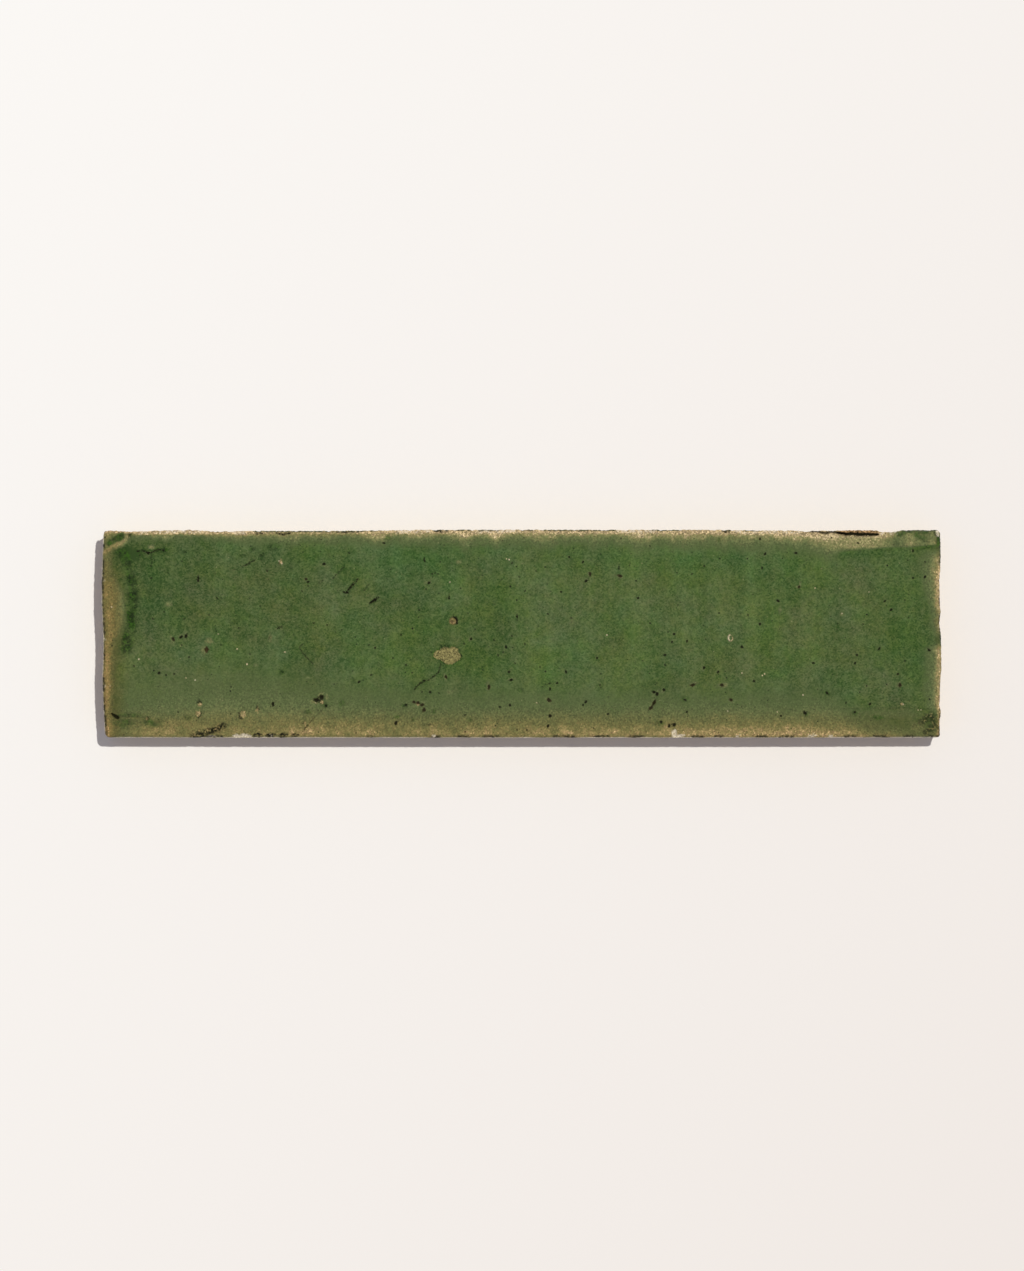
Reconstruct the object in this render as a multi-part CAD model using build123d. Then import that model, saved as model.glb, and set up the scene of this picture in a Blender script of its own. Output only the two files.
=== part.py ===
# Hand-made glazed clay tile, cut, dipped and fired as one piece.
#
# X runs along the tile, Y across it and Z out of the glazed face. The origin is the middle of the
# flat back. Sizes are in millimetres. Wear marks are placed by shares of the half length and the
# half width, so that they stay on the face when the tile is made longer or wider.

from build123d import *

import math
import os

# Overall size
tile_length = 200.0  # reach of the glazed face along X
tile_width = 49.5  # reach of the glazed face along Y
tile_thickness = 11.0  # from the back to the crown of the glazed face

# Section
undercut = 1.1  # lean of each side, inwards from the glazed face to the back
arris_radius = 0.8  # soft edge round the glazed face, where the glaze runs thin
back_round = 0.4  # edge round the back, blunted in handling
crown_drop = 0.35  # fall of the face from its middle to the middle of an edge
crown_power = 4  # how flat the middle of the face stays before it falls
swell_height = 0.14  # half height of the slow waves that pressing by hand leaves
swell_length = 58.0  # crest to crest of those waves
swell_shift = 6.5  # where the first rise stands before the middle
swell_slant = 7.4  # how far the crests stand off the middle line

# Corners of the outline, as seen from above
front_left_round = 1.5
front_right_round = 1.1
back_right_round = 1.5
back_left_round = 1.2

# Where each corner stands inside the full reach, along X and along Y
front_left_inset = (0.75, 0.0)
front_right_inset = (0.25, 0.1)
back_right_inset = (0.1, 0.1)
back_left_inset = (0.45, 0.4)

# Wander of each hand-cut side: share of the way along, and how far inside the line between its corners
front_wander = [(0.3, -0.06), (0.62, 0.04)]
right_wander = [(0.15, 0.15), (0.38, -0.12), (0.56, 0.16), (0.76, 0.22)]
back_wander = [
    (0.035, -0.02),
    (0.065, 0.34),
    (0.18, 0.1),
    (0.3, -0.15),
    (0.49, -0.25),
    (0.62, -0.2),
    (0.77, -0.03),
    (0.86, 0.12),
    (0.9, -0.28),
    (0.95, 0.06),
]
left_wander = [(0.26, -0.53), (0.51, -0.2), (0.7, -0.46), (0.86, -0.29)]

# Round pits where grit or chaff burnt out: place along X and Y, width across, depth
round_pits = [
    (-0.753, -0.15, 1.2, 0.5),
    (-0.767, -0.68, 1.4, 0.4),
    (-0.773, -0.786, 1.6, 0.35),
    (-0.666, -0.782, 1.9, 0.4),
    (-0.483, -0.631, 2.2, 0.65),
    (-0.025, -0.448, 1.3, 0.4),
    (0.436, -0.328, 1.0, 0.38),
    (0.478, -0.5, 1.2, 0.4),
    (0.499, -0.043, 1.5, 0.4),
    (0.663, 0.448, 1.1, 0.5),
]

# Drag marks that a straw or a tool left in the clay: place, length, width across, depth, heading in degrees
drag_marks = [
    (-0.406, 0.453, 4.3, 0.8, 0.3, 48.0),
    (-0.355, 0.304, 2.9, 1.3, 0.45, 40.0),
    (-0.44, 0.55, 3.4, 0.6, 0.2, 46.0),
    (0.315, -0.669, 2.4, 0.9, 0.35, 62.0),
]

# The flake of glaze that came off near the middle, as overlapping shallow dishes
flake_place = (-0.178, -0.207)
flake_depth = 0.3
flake_lobes = [(-1.3, 0.1, 3.4), (0.5, -0.4, 3.6), (1.6, 0.5, 3.0)]  # offset along X and Y, width across

# The burst where a lime grain swelled: a deep dish, with the grain still stuck in the bottom of it
burst_place = (-0.163, 0.12)
burst_across = 2.3
burst_depth = 0.8
burst_grain = 0.5  # radius of the grain

# The split along the back edge: the strip outside it has dropped, and the gap goes deep
split_middle = 0.81  # share of the half length
split_length = 10.0
split_strip = 1.1  # width of the dropped strip, in from the back edge
split_drop = 0.6  # how far the strip has dropped
split_gap = 0.45  # width of the open gap
split_depth = 2.4  # depth of the gap
split_tail = 6.0  # length of the hairline that runs on from the gap

# The fold in the clay at the front left corner
fold_place = (-0.968, -0.795)
fold_length = 2.4
fold_width = 1.0
fold_depth = 0.9
fold_heading = -26.0

half_length = tile_length / 2
half_width = tile_width / 2
reach_height = tile_thickness - crown_drop - arris_radius  # widest height, just under the arris
trim = 1.0  # how far the blank and the cutters stand above the finished face
face_margin = 4.0  # how far the waved surface runs past the outline
rows_across = 9  # rows of points that the waved surface is drawn through
columns_per_swell = 6
seam_up = Rot(0, -90, 0)  # turns the seam of a ball up, clear of the face that it cuts


def face_height(x, y):
    """Height of the glazed face above the back: crowned, with slow waves."""
    fall = crown_drop * ((x / half_length) ** crown_power + (y / half_width) ** crown_power)
    along = math.sin(2 * math.pi * (x + swell_shift) / swell_length)
    across = math.cos(math.pi * (y - swell_slant) / swell_length)
    return tile_thickness - fall - swell_height * (1 - along * across)


def on_face(share_x, share_y, lift=0.0):
    """A place on the glazed face, given as shares of the half length and the half width."""
    x = share_x * half_length
    y = share_y * half_width
    return Pos(x, y, face_height(x, y) + lift)


def hand_cut_side(start, end, wander):
    """One side of the outline, wandering about the line between its corners."""
    run = end - start
    inward = Vector(-run.Y, run.X).normalized()
    return Spline(start, *[start + run * share + inward * inset for share, inset in wander], end)


def face_outline(grow, height):
    """The hand-cut outline, grown outwards by the sides' lean and lifted to a height."""
    reach_x = half_length + grow
    reach_y = half_width + grow
    front_left = Vector(front_left_inset[0] - reach_x, front_left_inset[1] - reach_y)
    front_right = Vector(reach_x - front_right_inset[0], front_right_inset[1] - reach_y)
    back_right = Vector(reach_x - back_right_inset[0], reach_y - back_right_inset[1])
    back_left = Vector(back_left_inset[0] - reach_x, reach_y - back_left_inset[1])
    sides = [
        hand_cut_side(front_left, front_right, front_wander),
        hand_cut_side(front_right, back_right, right_wander),
        hand_cut_side(back_right, back_left, back_wander),
        hand_cut_side(back_left, front_left, left_wander),
    ]
    return Pos(0, 0, height) * make_face(Curve() + sides)


def leaning_blank():
    """The slab with its wandering, undercut sides, before the face is formed."""
    blank_height = tile_thickness + trim
    back = Rectangle(tile_length - 2 * undercut, tile_width - 2 * undercut)
    face = face_outline(undercut * (blank_height / reach_height - 1), blank_height)
    return loft([back, face], ruled=True)


def corner_edge(blank, sign_x, sign_y):
    """The upright edge at one corner of the blank."""
    upright = blank.edges().filter_by(lambda edge: abs(edge.tangent_at(0.5).Z) > 0.5)
    return upright.sort_by(lambda edge: edge.center().X * sign_x + edge.center().Y * sign_y)[-1]


def shaped_corners(blank):
    """The four corners, each worn round in its own way."""
    blank = fillet(corner_edge(blank, -1, -1), front_left_round)
    blank = fillet(corner_edge(blank, 1, -1), front_right_round)
    blank = fillet(corner_edge(blank, 1, 1), back_right_round)
    return fillet(corner_edge(blank, -1, 1), back_left_round)


def above_face():
    """Everything above the crowned and waved face, to be taken off the blank."""
    columns = columns_per_swell * math.ceil(tile_length / swell_length) + 1
    reach_x = half_length + face_margin
    reach_y = half_width + face_margin
    grid = []
    for row in range(rows_across):
        y = reach_y * (2 * row / (rows_across - 1) - 1)
        xs = [reach_x * (2 * column / (columns - 1) - 1) for column in range(columns)]
        grid.append([Vector(x, y, face_height(x, y)) for x in xs])
    waved = Face.make_surface_from_array_of_points(grid)
    return extrude(waved, amount=tile_thickness, dir=(0, 0, 1))


def cap_radius(across, depth):
    """Radius of the ball that leaves a dish of this width and depth in a flat face."""
    return (across**2 / 4 + depth**2) / (2 * depth)


def dish(across, depth):
    """A ball that cuts a round dish at the origin."""
    radius = cap_radius(across, depth)
    return Pos(0, 0, radius - depth) * seam_up * Sphere(radius)


def groove(length, across, depth, heading):
    """A lemon that cuts a groove with pointed ends at the origin."""
    belly = cap_radius(across, depth)
    bend = cap_radius(length, depth)
    tip = math.sqrt(bend**2 - (bend - belly) ** 2)
    outside = ThreePointArc((-tip, 0), (0, belly), (tip, 0))
    profile = make_face(outside + Line((tip, 0), (-tip, 0)))
    lemon = revolve(profile, axis=Axis.X)
    return Pos(0, 0, belly - depth) * Rot(0, 0, heading) * Rot(90, 0, 0) * lemon


def lime_burst():
    """The dish blown out over a lime grain."""
    return on_face(*burst_place) * dish(burst_across, burst_depth)


def lime_grain():
    """The grain, still stuck in the bottom of its burst."""
    return on_face(*burst_place, lift=-burst_depth) * Sphere(burst_grain)


def lost_flake():
    """The lobed scar of the flake."""
    scar = Part()
    for offset_x, offset_y, across in flake_lobes:
        scar += Pos(offset_x, offset_y, 0) * dish(across, flake_depth)
    return on_face(*flake_place) * scar


def edge_split():
    """The dropped strip along the back edge, the gap behind it and the hairline beyond."""
    middle = split_middle * half_length
    inner = half_width - split_strip
    surface = face_height(middle, inner)
    strip = Pos(middle, inner + split_strip, surface - split_drop) * Box(
        split_length, 2 * split_strip, 2 * trim, align=(Align.CENTER, Align.CENTER, Align.MIN)
    )
    gap_height = split_depth + trim
    gap = Pos(middle, inner, surface - split_depth) * Box(
        split_length, split_gap, gap_height, align=(Align.CENTER, Align.MIN, Align.MIN)
    )
    tail_height = split_depth / 2 + trim
    tail = Pos(middle - split_length / 2, inner, surface - split_depth / 2) * Box(
        split_tail, split_gap / 2, tail_height, align=(Align.MAX, Align.MIN, Align.MIN)
    )
    return strip + gap + tail


def corner_fold():
    """The wedge-shaped gap under the fold at the front left corner."""
    thin_end = (-fold_length / 2, 0)
    wide_end = [(fold_length / 2, -fold_width), (fold_length / 2, 0)]
    gap = make_face(Polyline(thin_end, *wide_end, close=True))
    sunk = extrude(gap, amount=fold_depth + trim)
    return on_face(*fold_place, lift=-fold_depth) * Rot(0, 0, fold_heading) * sunk


def glazed_tile():
    """The whole tile, with its back's middle at the origin."""
    tile = shaped_corners(leaning_blank()) - above_face()
    tile = fillet(tile.faces().sort_by(Axis.Z)[-1].outer_wire().edges(), arris_radius)
    tile = fillet(tile.faces().sort_by(Axis.Z)[0].outer_wire().edges(), back_round)
    marks = [on_face(x, y) * dish(across, depth) for x, y, across, depth in round_pits]
    marks += [on_face(x, y) * groove(*sizes) for x, y, *sizes in drag_marks]
    marks += [lost_flake(), lime_burst(), edge_split(), corner_fold()]
    for mark in marks:
        tile -= mark
    tile += lime_grain()
    reach = tile.bounding_box()
    return Pos(-reach.center().X, -reach.center().Y, -reach.min.Z) * tile


os.makedirs("parts", exist_ok=True)
export_step(glazed_tile(), "parts/glazed_tile.step")
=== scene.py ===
import math
import random

import bpy
import numpy as np
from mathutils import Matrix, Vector, noise
from mathutils.geometry import delaunay_2d_cdt


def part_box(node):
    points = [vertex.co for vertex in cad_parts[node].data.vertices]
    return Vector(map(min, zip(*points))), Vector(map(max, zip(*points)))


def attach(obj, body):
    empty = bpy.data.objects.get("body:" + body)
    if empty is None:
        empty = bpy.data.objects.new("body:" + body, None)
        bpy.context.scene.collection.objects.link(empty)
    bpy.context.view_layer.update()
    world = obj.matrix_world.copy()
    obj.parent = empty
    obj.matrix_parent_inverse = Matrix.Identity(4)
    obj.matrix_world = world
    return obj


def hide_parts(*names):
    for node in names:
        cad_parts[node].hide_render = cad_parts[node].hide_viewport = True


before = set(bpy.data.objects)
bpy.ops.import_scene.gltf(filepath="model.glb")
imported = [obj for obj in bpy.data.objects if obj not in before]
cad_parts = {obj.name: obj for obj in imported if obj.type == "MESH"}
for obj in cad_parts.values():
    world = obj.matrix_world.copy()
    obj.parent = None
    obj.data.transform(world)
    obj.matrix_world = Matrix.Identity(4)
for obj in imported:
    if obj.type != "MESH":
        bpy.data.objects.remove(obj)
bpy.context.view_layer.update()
random.seed(11)

mm = 0.001
lowCorner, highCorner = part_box("glazed_tile")
halfLength = (highCorner[0] - lowCorner[0]) / 2 / mm
halfWidth = (highCorner[1] - lowCorner[1]) / 2 / mm
thickness = highCorner[2] / mm

# The photo looks straight down, so a pixel stands for the same length all over the face
photo = {"middle": (521.6, 633.5), "tileAcross": 838.4, "height": 1271, "centre": (512.0, 635.5)}
mmPerPixel = 2 * halfLength / photo["tileAcross"]


def toFace(px, py):
    return (px - photo["middle"][0]) * mmPerPixel, (photo["middle"][1] - py) * mmPerPixel


def toPixels(x, y):
    return photo["middle"][0] + x / mmPerPixel, photo["middle"][1] - y / mmPerPixel


def ease(value, start, end):
    t = np.clip((value - start) / (end - start), 0, 1)
    return t * t * (3 - 2 * t)


def within(value, full, gone):
    # 1 up to one value, 0 from the other on
    return 1 - ease(value, full, gone)


def noiseAt(x, y, scale, seed):
    return np.array([noise.noise((a * scale, b * scale, seed)) for a, b in zip(x, y)])


def profile(value, points):
    return np.interp(value, [p[0] for p in points], [p[1] for p in points])


# Outline, read off the photo in pixels: place along each side, then where the edge is
outline = {
    "left": [(531, 103.5), (536, 103.0), (555, 102.2), (580, 101.3), (602, 101.3), (620, 102.2),
             (637, 103.0), (660, 102.7), (675, 102.2), (690, 102.4), (707, 103.0), (725, 104.1),
             (737, 104.7)],
    "right": [(531, 940.1), (545, 940.9), (567, 940.7), (580, 939.7), (605, 940.2), (612, 941.0),
              (624, 939.4), (633, 941.0), (640, 941.4), (668, 941.6), (683, 940.5), (705, 939.9),
              (712, 941.1), (722, 939.9), (737, 940.2)],
    "back": [(103, 531.1), (110, 530.1), (130, 531.4), (150, 530.7), (190, 529.5), (215, 531.5),
             (245, 530.7), (340, 530.7), (420, 529.7), (528, 529.5), (600, 529.7), (700, 529.6),
             (800, 530.4), (805, 531.9), (812, 530.7), (838, 530.3), (850, 530.0), (876, 530.1),
             (880, 531.6), (896, 531.6), (901, 530.0), (941, 529.8)],
    "front": [(103, 737.8), (400, 737.9), (650, 737.9), (760, 737.9), (941, 737.6)],
    "rounds": (1.4, 0.7, 1.1, 0.8),  # front left, front right, back right and back left corners, in mm
    "leastRound": 0.05,  # of a corner inside the outline
    "step": 0.33,  # between points along the edge, in mm
    "cornerSteps": 8,
}


def leftAt(y):
    return toFace(profile(toPixels(0, y)[1], outline["left"]), 0)[0]


def rightAt(y):
    return toFace(profile(toPixels(0, y)[1], outline["right"]), 0)[0]


def backAt(x):
    return toFace(0, profile(toPixels(x, 0)[0], outline["back"]))[1]


def frontAt(x):
    return toFace(0, profile(toPixels(x, 0)[0], outline["front"]))[1]


def sideCounts():
    # How many points stand along the front, right, back and left sides, between the corners
    longCount = round(2 * halfLength / outline["step"])
    shortCount = round(2 * halfWidth / outline["step"])
    return [longCount, shortCount, longCount, shortCount]


def edgeRing(inset):
    # Points round the tile at one distance inside its outline, anticlockwise from the front left corner
    rounds = [max(r, inset + outline["leastRound"]) for r in outline["rounds"]]
    signs = [(-1, -1), (1, -1), (1, 1), (-1, 1)]
    centres = []
    for (sx, sy), r in zip(signs, rounds):
        sideX = leftAt if sx < 0 else rightAt
        sideY = frontAt if sy < 0 else backAt
        centres.append((sideX(sy * (halfWidth - r)) - sx * r, sideY(sx * (halfLength - r)) - sy * r))
    ring = []
    for i in range(4):
        start = centres[i]
        end = centres[(i + 1) % 4]
        along = np.linspace(0, 1, sideCounts()[i], endpoint=False)
        xs = start[0] + (end[0] - start[0]) * along
        ys = start[1] + (end[1] - start[1]) * along
        if i == 0:
            ys = frontAt(xs) + inset
        elif i == 1:
            xs = rightAt(ys) - inset
        elif i == 2:
            ys = backAt(xs) - inset
        else:
            xs = leftAt(ys) + inset
        ring += list(zip(xs, ys))
        turn = rounds[(i + 1) % 4] - inset
        for k in range(outline["cornerSteps"]):
            angle = (i - 1 + k / outline["cornerSteps"]) * math.pi / 2
            ring.append((end[0] + turn * math.cos(angle), end[1] + turn * math.sin(angle)))
    return np.array(ring)


def alongPath(x, y, path):
    # Distance in pixels to a path of points, and how far along it the nearest point is
    px, py = toPixels(x, y)
    best = np.full(len(px), 1e9)
    where = np.zeros(len(px))
    steps = len(path) - 1
    for i in range(steps):
        ax, ay = path[i]
        bx, by = path[i + 1]
        run = (bx - ax) ** 2 + (by - ay) ** 2
        t = np.clip(((px - ax) * (bx - ax) + (py - ay) * (by - ay)) / run, 0, 1)
        gap = np.hypot(px - ax - t * (bx - ax), py - ay - t * (by - ay))
        nearer = gap < best
        best = np.where(nearer, gap, best)
        where = np.where(nearer, (i + t) / steps, where)
    return best, where


def edgeDistances(x, y):
    # For each edge: how many pixels a point stands inside it, and where along it
    px, py = toPixels(x, y)
    return {
        "back": ((backAt(x) - y) / mmPerPixel, px),
        "front": ((y - frontAt(x)) / mmPerPixel, px),
        "left": ((x - leftAt(y)) / mmPerPixel, py),
        "right": ((rightAt(y) - x) / mmPerPixel, py),
    }


def insideBy(x, y):
    # How far a point stands inside the outline, in mm
    return np.min([inside for inside, place in edgeDistances(x, y).values()], axis=0) * mmPerPixel


# The formed face: the same crown and slow waves as the solid, then the dimples of a hand-made one
face = {
    "crownDrop": 0.35,
    "crownPower": 4,
    "swellHeight": 0.14,
    "swellLength": 58.0,
    "swellShift": 6.5,
    "swellSlant": 7.4,
    "dimples": [(0.05, 0.05, 2.0), (0.02, 0.22, 5.0)],  # height in mm, waves per mm, seed
    "dimpleSink": 0.6,  # how far the dimples lie below the face, as a share of their height
    "step": 0.92,  # between points in the open face, in mm
    "edgeStep": 0.37,  # between points near the edges
    "leastStep": 0.085,  # between points round the marks
    "edgeZone": 7.0,  # how far in from the edges the points stay close
    "rims": [0.95, 1.12, 1.3],  # where the last edge rings stand, inside the outline
    "fineMargin": 0.12,  # between those rings and the points round the marks
    "margin": 0.2,  # between those rings and the other points
    "cell": 0.4,  # no other points in a square of this size that has some round a mark
}


def faceHeight(x, y):
    fall = (abs(x) / halfLength) ** face["crownPower"] + (abs(y) / halfWidth) ** face["crownPower"]
    along = np.sin(2 * math.pi * (x + face["swellShift"]) / face["swellLength"])
    across = np.cos(math.pi * (y - face["swellSlant"]) / face["swellLength"])
    height = thickness - face["crownDrop"] * fall - face["swellHeight"] * (1 - along * across)
    for size, scale, seed in face["dimples"]:
        height = height + size * (noiseAt(x, y, scale, seed) - face["dimpleSink"])
    return height


class FaceMarks:
    # The height that the marks add to the face at each point, and how far each look shows there
    def __init__(self, x, y):
        self.x = x
        self.y = y
        self.px, self.py = toPixels(x, y)
        self.rise = np.zeros(len(x))
        names = ("pore", "rust", "bare", "pale", "thin", "deep", "ochre")
        self.looks = {name: np.zeros(len(x)) for name in names}
        self.wobble = noiseAt(x, y, 2.3, 31.0) + 0.6 * noiseAt(x, y, 4.9, 33.0)  # bends the rims of the marks
        self.broken = noiseAt(x, y, 1.7, 35.0) + 0.7 * noiseAt(x, y, 3.6, 36.0)  # breaks them up
        # Breaks up the painted pale highlight along the edges
        self.edgeHighlightBreaks = np.clip(0.75 + 0.9 * noiseAt(x, y, 0.3, 37.0) + 0.5 * self.broken, 0.2, 1)
        self.shapes = random.Random(23)

    def show(self, name, amount):
        self.looks[name] = np.maximum(self.looks[name], amount)

    def away(self, cx, cy, rx=1.0, ry=1.0):
        # Distance from a place in photo pixels, or in half sizes of a mark there
        return np.hypot((self.px - cx) / rx, (self.py - cy) / ry)


# Marks in the face, in photo pixels. Pores come in groups of one size, dark or rusty inside; the dark is dirt
# with painted shade in the pit
pores = {
    "pin": {"across": 1.9, "depth": 0.12, "dark": 0.75, "rust": 0.0, "rim": 0.0, "at": [
        (151, 578), (151, 566), (250, 654), (260, 606), (327, 625), (349, 553), (393, 658), (401, 635),
        (406, 665), (419, 610), (432, 574), (435, 573), (438, 574), (494, 640), (536, 571), (548, 614),
        (650, 546), (665, 665), (704, 566), (905, 600), (905, 661), (189, 657), (239, 628), (371, 675),
        (314, 623), (571, 618), (153, 619), (164, 612), (184, 619), (221, 645), (231, 687), (134, 666),
        (267, 571), (369, 645), (512, 563), (519, 577), (525, 591), (525, 644), (498, 655), (515, 663),
        (540, 667), (600, 685), (719, 613), (748, 615), (863, 624), (925, 562), (846, 703), (422, 692),
        (439, 693), (465, 715), (465, 732), (507, 734), (517, 730), (527, 730), (464, 644), (426, 589),
        (217, 598), (178, 712), (174, 674), (302, 591), (308, 586), (512, 636), (668, 632), (692, 574),
    ]},
    "small": {"across": 2.5, "depth": 0.2, "dark": 0.95, "rust": 0.0, "rim": 0.1, "at": [
        (148, 553), (159, 673), (166, 675), (306, 579), (326, 706), (359, 682), (375, 648), (384, 543),
        (430, 692), (449, 598), (506, 647), (509, 672), (500, 707), (510, 705), (406, 705), (557, 683),
        (561, 592), (566, 672), (569, 557), (583, 562), (586, 581), (583, 705), (586, 702), (597, 658),
        (608, 714), (638, 598), (665, 655), (672, 642), (674, 634), (687, 641), (685, 700), (687, 712),
        (718, 672), (742, 647), (754, 681), (760, 539), (760, 624), (762, 568), (765, 554), (778, 601),
        (781, 716), (796, 553), (813, 663), (827, 693), (855, 663), (855, 712), (857, 655), (858, 543),
        (870, 704), (879, 649), (885, 601), (891, 610), (913, 551), (913, 578), (925, 577), (929, 650),
        (898, 674), (308, 582), (550, 689), (661, 722),
    ]},
    "wide": {"across": 3.2, "depth": 0.3, "dark": 0.97, "rust": 0.1, "rim": 0.3, "at": [
        (181, 637), (186, 636), (511, 680), (704, 668), (273, 704), (324, 564), (429, 583), (471, 639),
        (396, 723), (550, 716), (548, 726), (654, 692), (657, 694), (664, 690), (669, 726), (674, 725),
        (805, 713),
    ]},
    "deep": {"across": 4.2, "depth": 0.4, "dark": 0.92, "rust": 0.6, "rim": 0.6, "at": [
        (316.5, 700), (321.5, 697),
    ]},
    "rusty": {"across": 3.0, "depth": 0.24, "dark": 0.75, "rust": 0.8, "rim": 0.35, "at": [
        (651, 708), (693, 685), (731, 700), (489, 687), (424, 710), (173, 639), (590, 574), (418, 703),
        (414, 702), (422, 705), (799, 587), (900, 685), (446, 677), (620, 576), (549, 700), (654, 703),
        (722, 685),
    ]},
}


def addPores(marks):
    for group in pores.values():
        for cx, cy in group["at"]:
            turn = marks.shapes.uniform(0, math.pi)
            longer = marks.shapes.uniform(1.0, 1.45)
            across = group["across"] * marks.shapes.uniform(0.8, 1.15)
            dx = marks.px - cx
            dy = marks.py - cy
            along = (dx * math.cos(turn) + dy * math.sin(turn)) / longer
            over = (dy * math.cos(turn) - dx * math.sin(turn)) * longer ** 0.5
            near = np.hypot(along, over) * (1 + 0.45 * marks.wobble) * 2 / across
            marks.rise -= group["depth"] * within(near, 0.25, 1.15)
            # Near-black inside: dirt, with painted shade in the pit
            marks.show("pore", group["dark"] * within(near, 0.6, 1.35))
            marks.show("rust", group["rust"] * within(near, 0.7, 1.5))
            marks.show("thin", group["rim"] * within(abs(near - 1.6), 0.2, 0.7) * ease(over, -0.5, 0.8))


# Grooves: the points that each follows, its width in pixels, its depth in mm, how dark it is with dirt and
# painted shade, and how rusty it is
grooves = [
    ([(331, 580), (344, 567)], 1.7, 0.14, 0.5, 0.0),
    ([(346, 592), (351, 587), (358, 579)], 2.8, 0.3, 0.8, 0.0),
    ([(343, 592), (350, 593)], 2.6, 0.25, 0.85, 0.0),
    ([(364, 591), (369, 584)], 1.5, 0.12, 0.5, 0.0),
    ([(370, 603), (374, 601), (378, 597)], 3.8, 0.4, 0.95, 0.0),
    ([(231, 571), (236, 569)], 1.5, 0.1, 0.4, 0.0),
    ([(241, 567), (248, 564), (255, 560)], 2.1, 0.14, 0.6, 0.0),
    ([(259, 557), (263, 554)], 1.6, 0.1, 0.4, 0.0),
    ([(318, 584), (323, 580)], 1.9, 0.16, 0.5, 0.0),
    ([(304, 642), (299, 648), (305, 656), (313, 664)], 1.7, 0.12, 0.5, 0.0),
    ([(283, 626), (277, 629)], 2.1, 0.16, 0.75, 0.0),
    ([(276, 625), (282, 628)], 1.5, 0.12, 0.45, 0.0),
    ([(271, 634), (268, 641)], 1.7, 0.12, 0.45, 0.0),
    ([(327, 705), (313, 719), (302, 733)], 1.2, 0.12, 0.4, 0.0),
    ([(310, 722), (303, 731)], 1.6, 0.14, 0.6, 0.0),
    ([(441, 664), (438, 673), (430, 679)], 1.8, 0.18, 0.6, 0.0),
    ([(431, 679), (422, 682), (418, 685)], 2.5, 0.24, 0.75, 0.0),
    ([(418, 685), (414, 690)], 2.0, 0.2, 0.65, 0.0),
    ([(542, 687), (547, 684), (553, 683)], 1.6, 0.12, 0.55, 0.0),
    ([(619, 564), (619, 570)], 1.6, 0.14, 0.6, 0.0),
    ([(630, 563), (629, 568)], 1.5, 0.12, 0.5, 0.0),
    ([(655, 700), (653, 705)], 2.6, 0.25, 0.8, 0.0),
    ([(198, 575.5), (198, 581.5)], 3.0, 0.25, 0.9, 0.0),
    ([(424, 558), (425, 562)], 1.9, 0.18, 0.8, 0.0),
    ([(517, 614), (517, 620)], 2.0, 0.2, 0.85, 0.0),
    ([(449, 594), (449, 599)], 1.7, 0.16, 0.7, 0.0),
    ([(592, 573), (586, 581)], 1.6, 0.14, 0.6, 0.0),
    ([(889, 612), (893, 608)], 1.4, 0.1, 0.5, 0.0),
    ([(137, 551.5), (142, 550.5), (147, 552.5), (151, 553)], 2.3, 0.16, 0.8, 0.0),
    ([(151, 553), (154, 551), (158, 549.5), (164, 550.5)], 2.2, 0.14, 0.7, 0.0),
    ([(151, 553), (151.5, 558), (152, 566)], 1.5, 0.1, 0.4, 0.0),
    ([(826, 709), (870, 708.5), (905, 708.5), (936, 709.5)], 2.0, 0.1, 0.12, 0.0),
    ([(255, 533.5), (263, 533)], 2.2, 0.2, 0.75, 0.0),
    ([(277, 532.8), (283, 534.6), (291, 533)], 2.4, 0.2, 0.8, 0.0),
    ([(334, 532), (346, 532.2), (359, 532)], 1.8, 0.2, 0.7, 0.0),
    ([(433, 531.5), (448, 531.4)], 2.2, 0.2, 0.8, 0.0),
    ([(722, 531.2), (729, 532.2)], 2.0, 0.2, 0.75, 0.0),
    ([(206.6, 647.4), (206.4, 651.6)], 4.2, 0.4, 0.3, 1.0),
    ([(934, 532), (936, 535.5), (938.5, 538)], 1.5, 0.15, 0.65, 0.0),
    ([(130, 613.5), (131.5, 622)], 6.0, 0.05, 0.45, 0.0),
    ([(193, 735.8), (206, 735.2)], 3.0, 0.15, 0.8, 0.0),
    ([(254, 734.8), (261, 734.4)], 3.6, 0.15, 0.9, 0.0),
    ([(266, 735), (275, 734.6)], 3.4, 0.15, 0.9, 0.0),
    ([(279, 735), (287, 734.5)], 3.4, 0.15, 0.9, 0.0),
    ([(291, 735.2), (298, 734.6)], 3.2, 0.15, 0.85, 0.0),
    ([(425, 725), (433, 725)], 1.8, 0.14, 0.5, 0.0),
    ([(668, 726), (672, 724)], 2.2, 0.16, 0.75, 0.0),
]


def addGrooves(marks):
    patchy = np.clip(0.8 + 1.2 * marks.broken, 0.15, 1.1)
    for path, across, depth, dark, rust in grooves:
        gap, share = alongPath(marks.x, marks.y, path)
        taper = 0.45 + 0.55 * np.sin(math.pi * np.clip(share, 0.06, 0.94))
        near = abs(gap + 0.8 * marks.wobble) * 2 / (across * taper)
        marks.rise -= depth * taper * within(near, 0.2, 1.2)
        marks.show("rust", rust * within(near, 0.6, 1.4))
        marks.show("pore", 1.25 * dark * within(near, 0.45, 1.4) * patchy)


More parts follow.
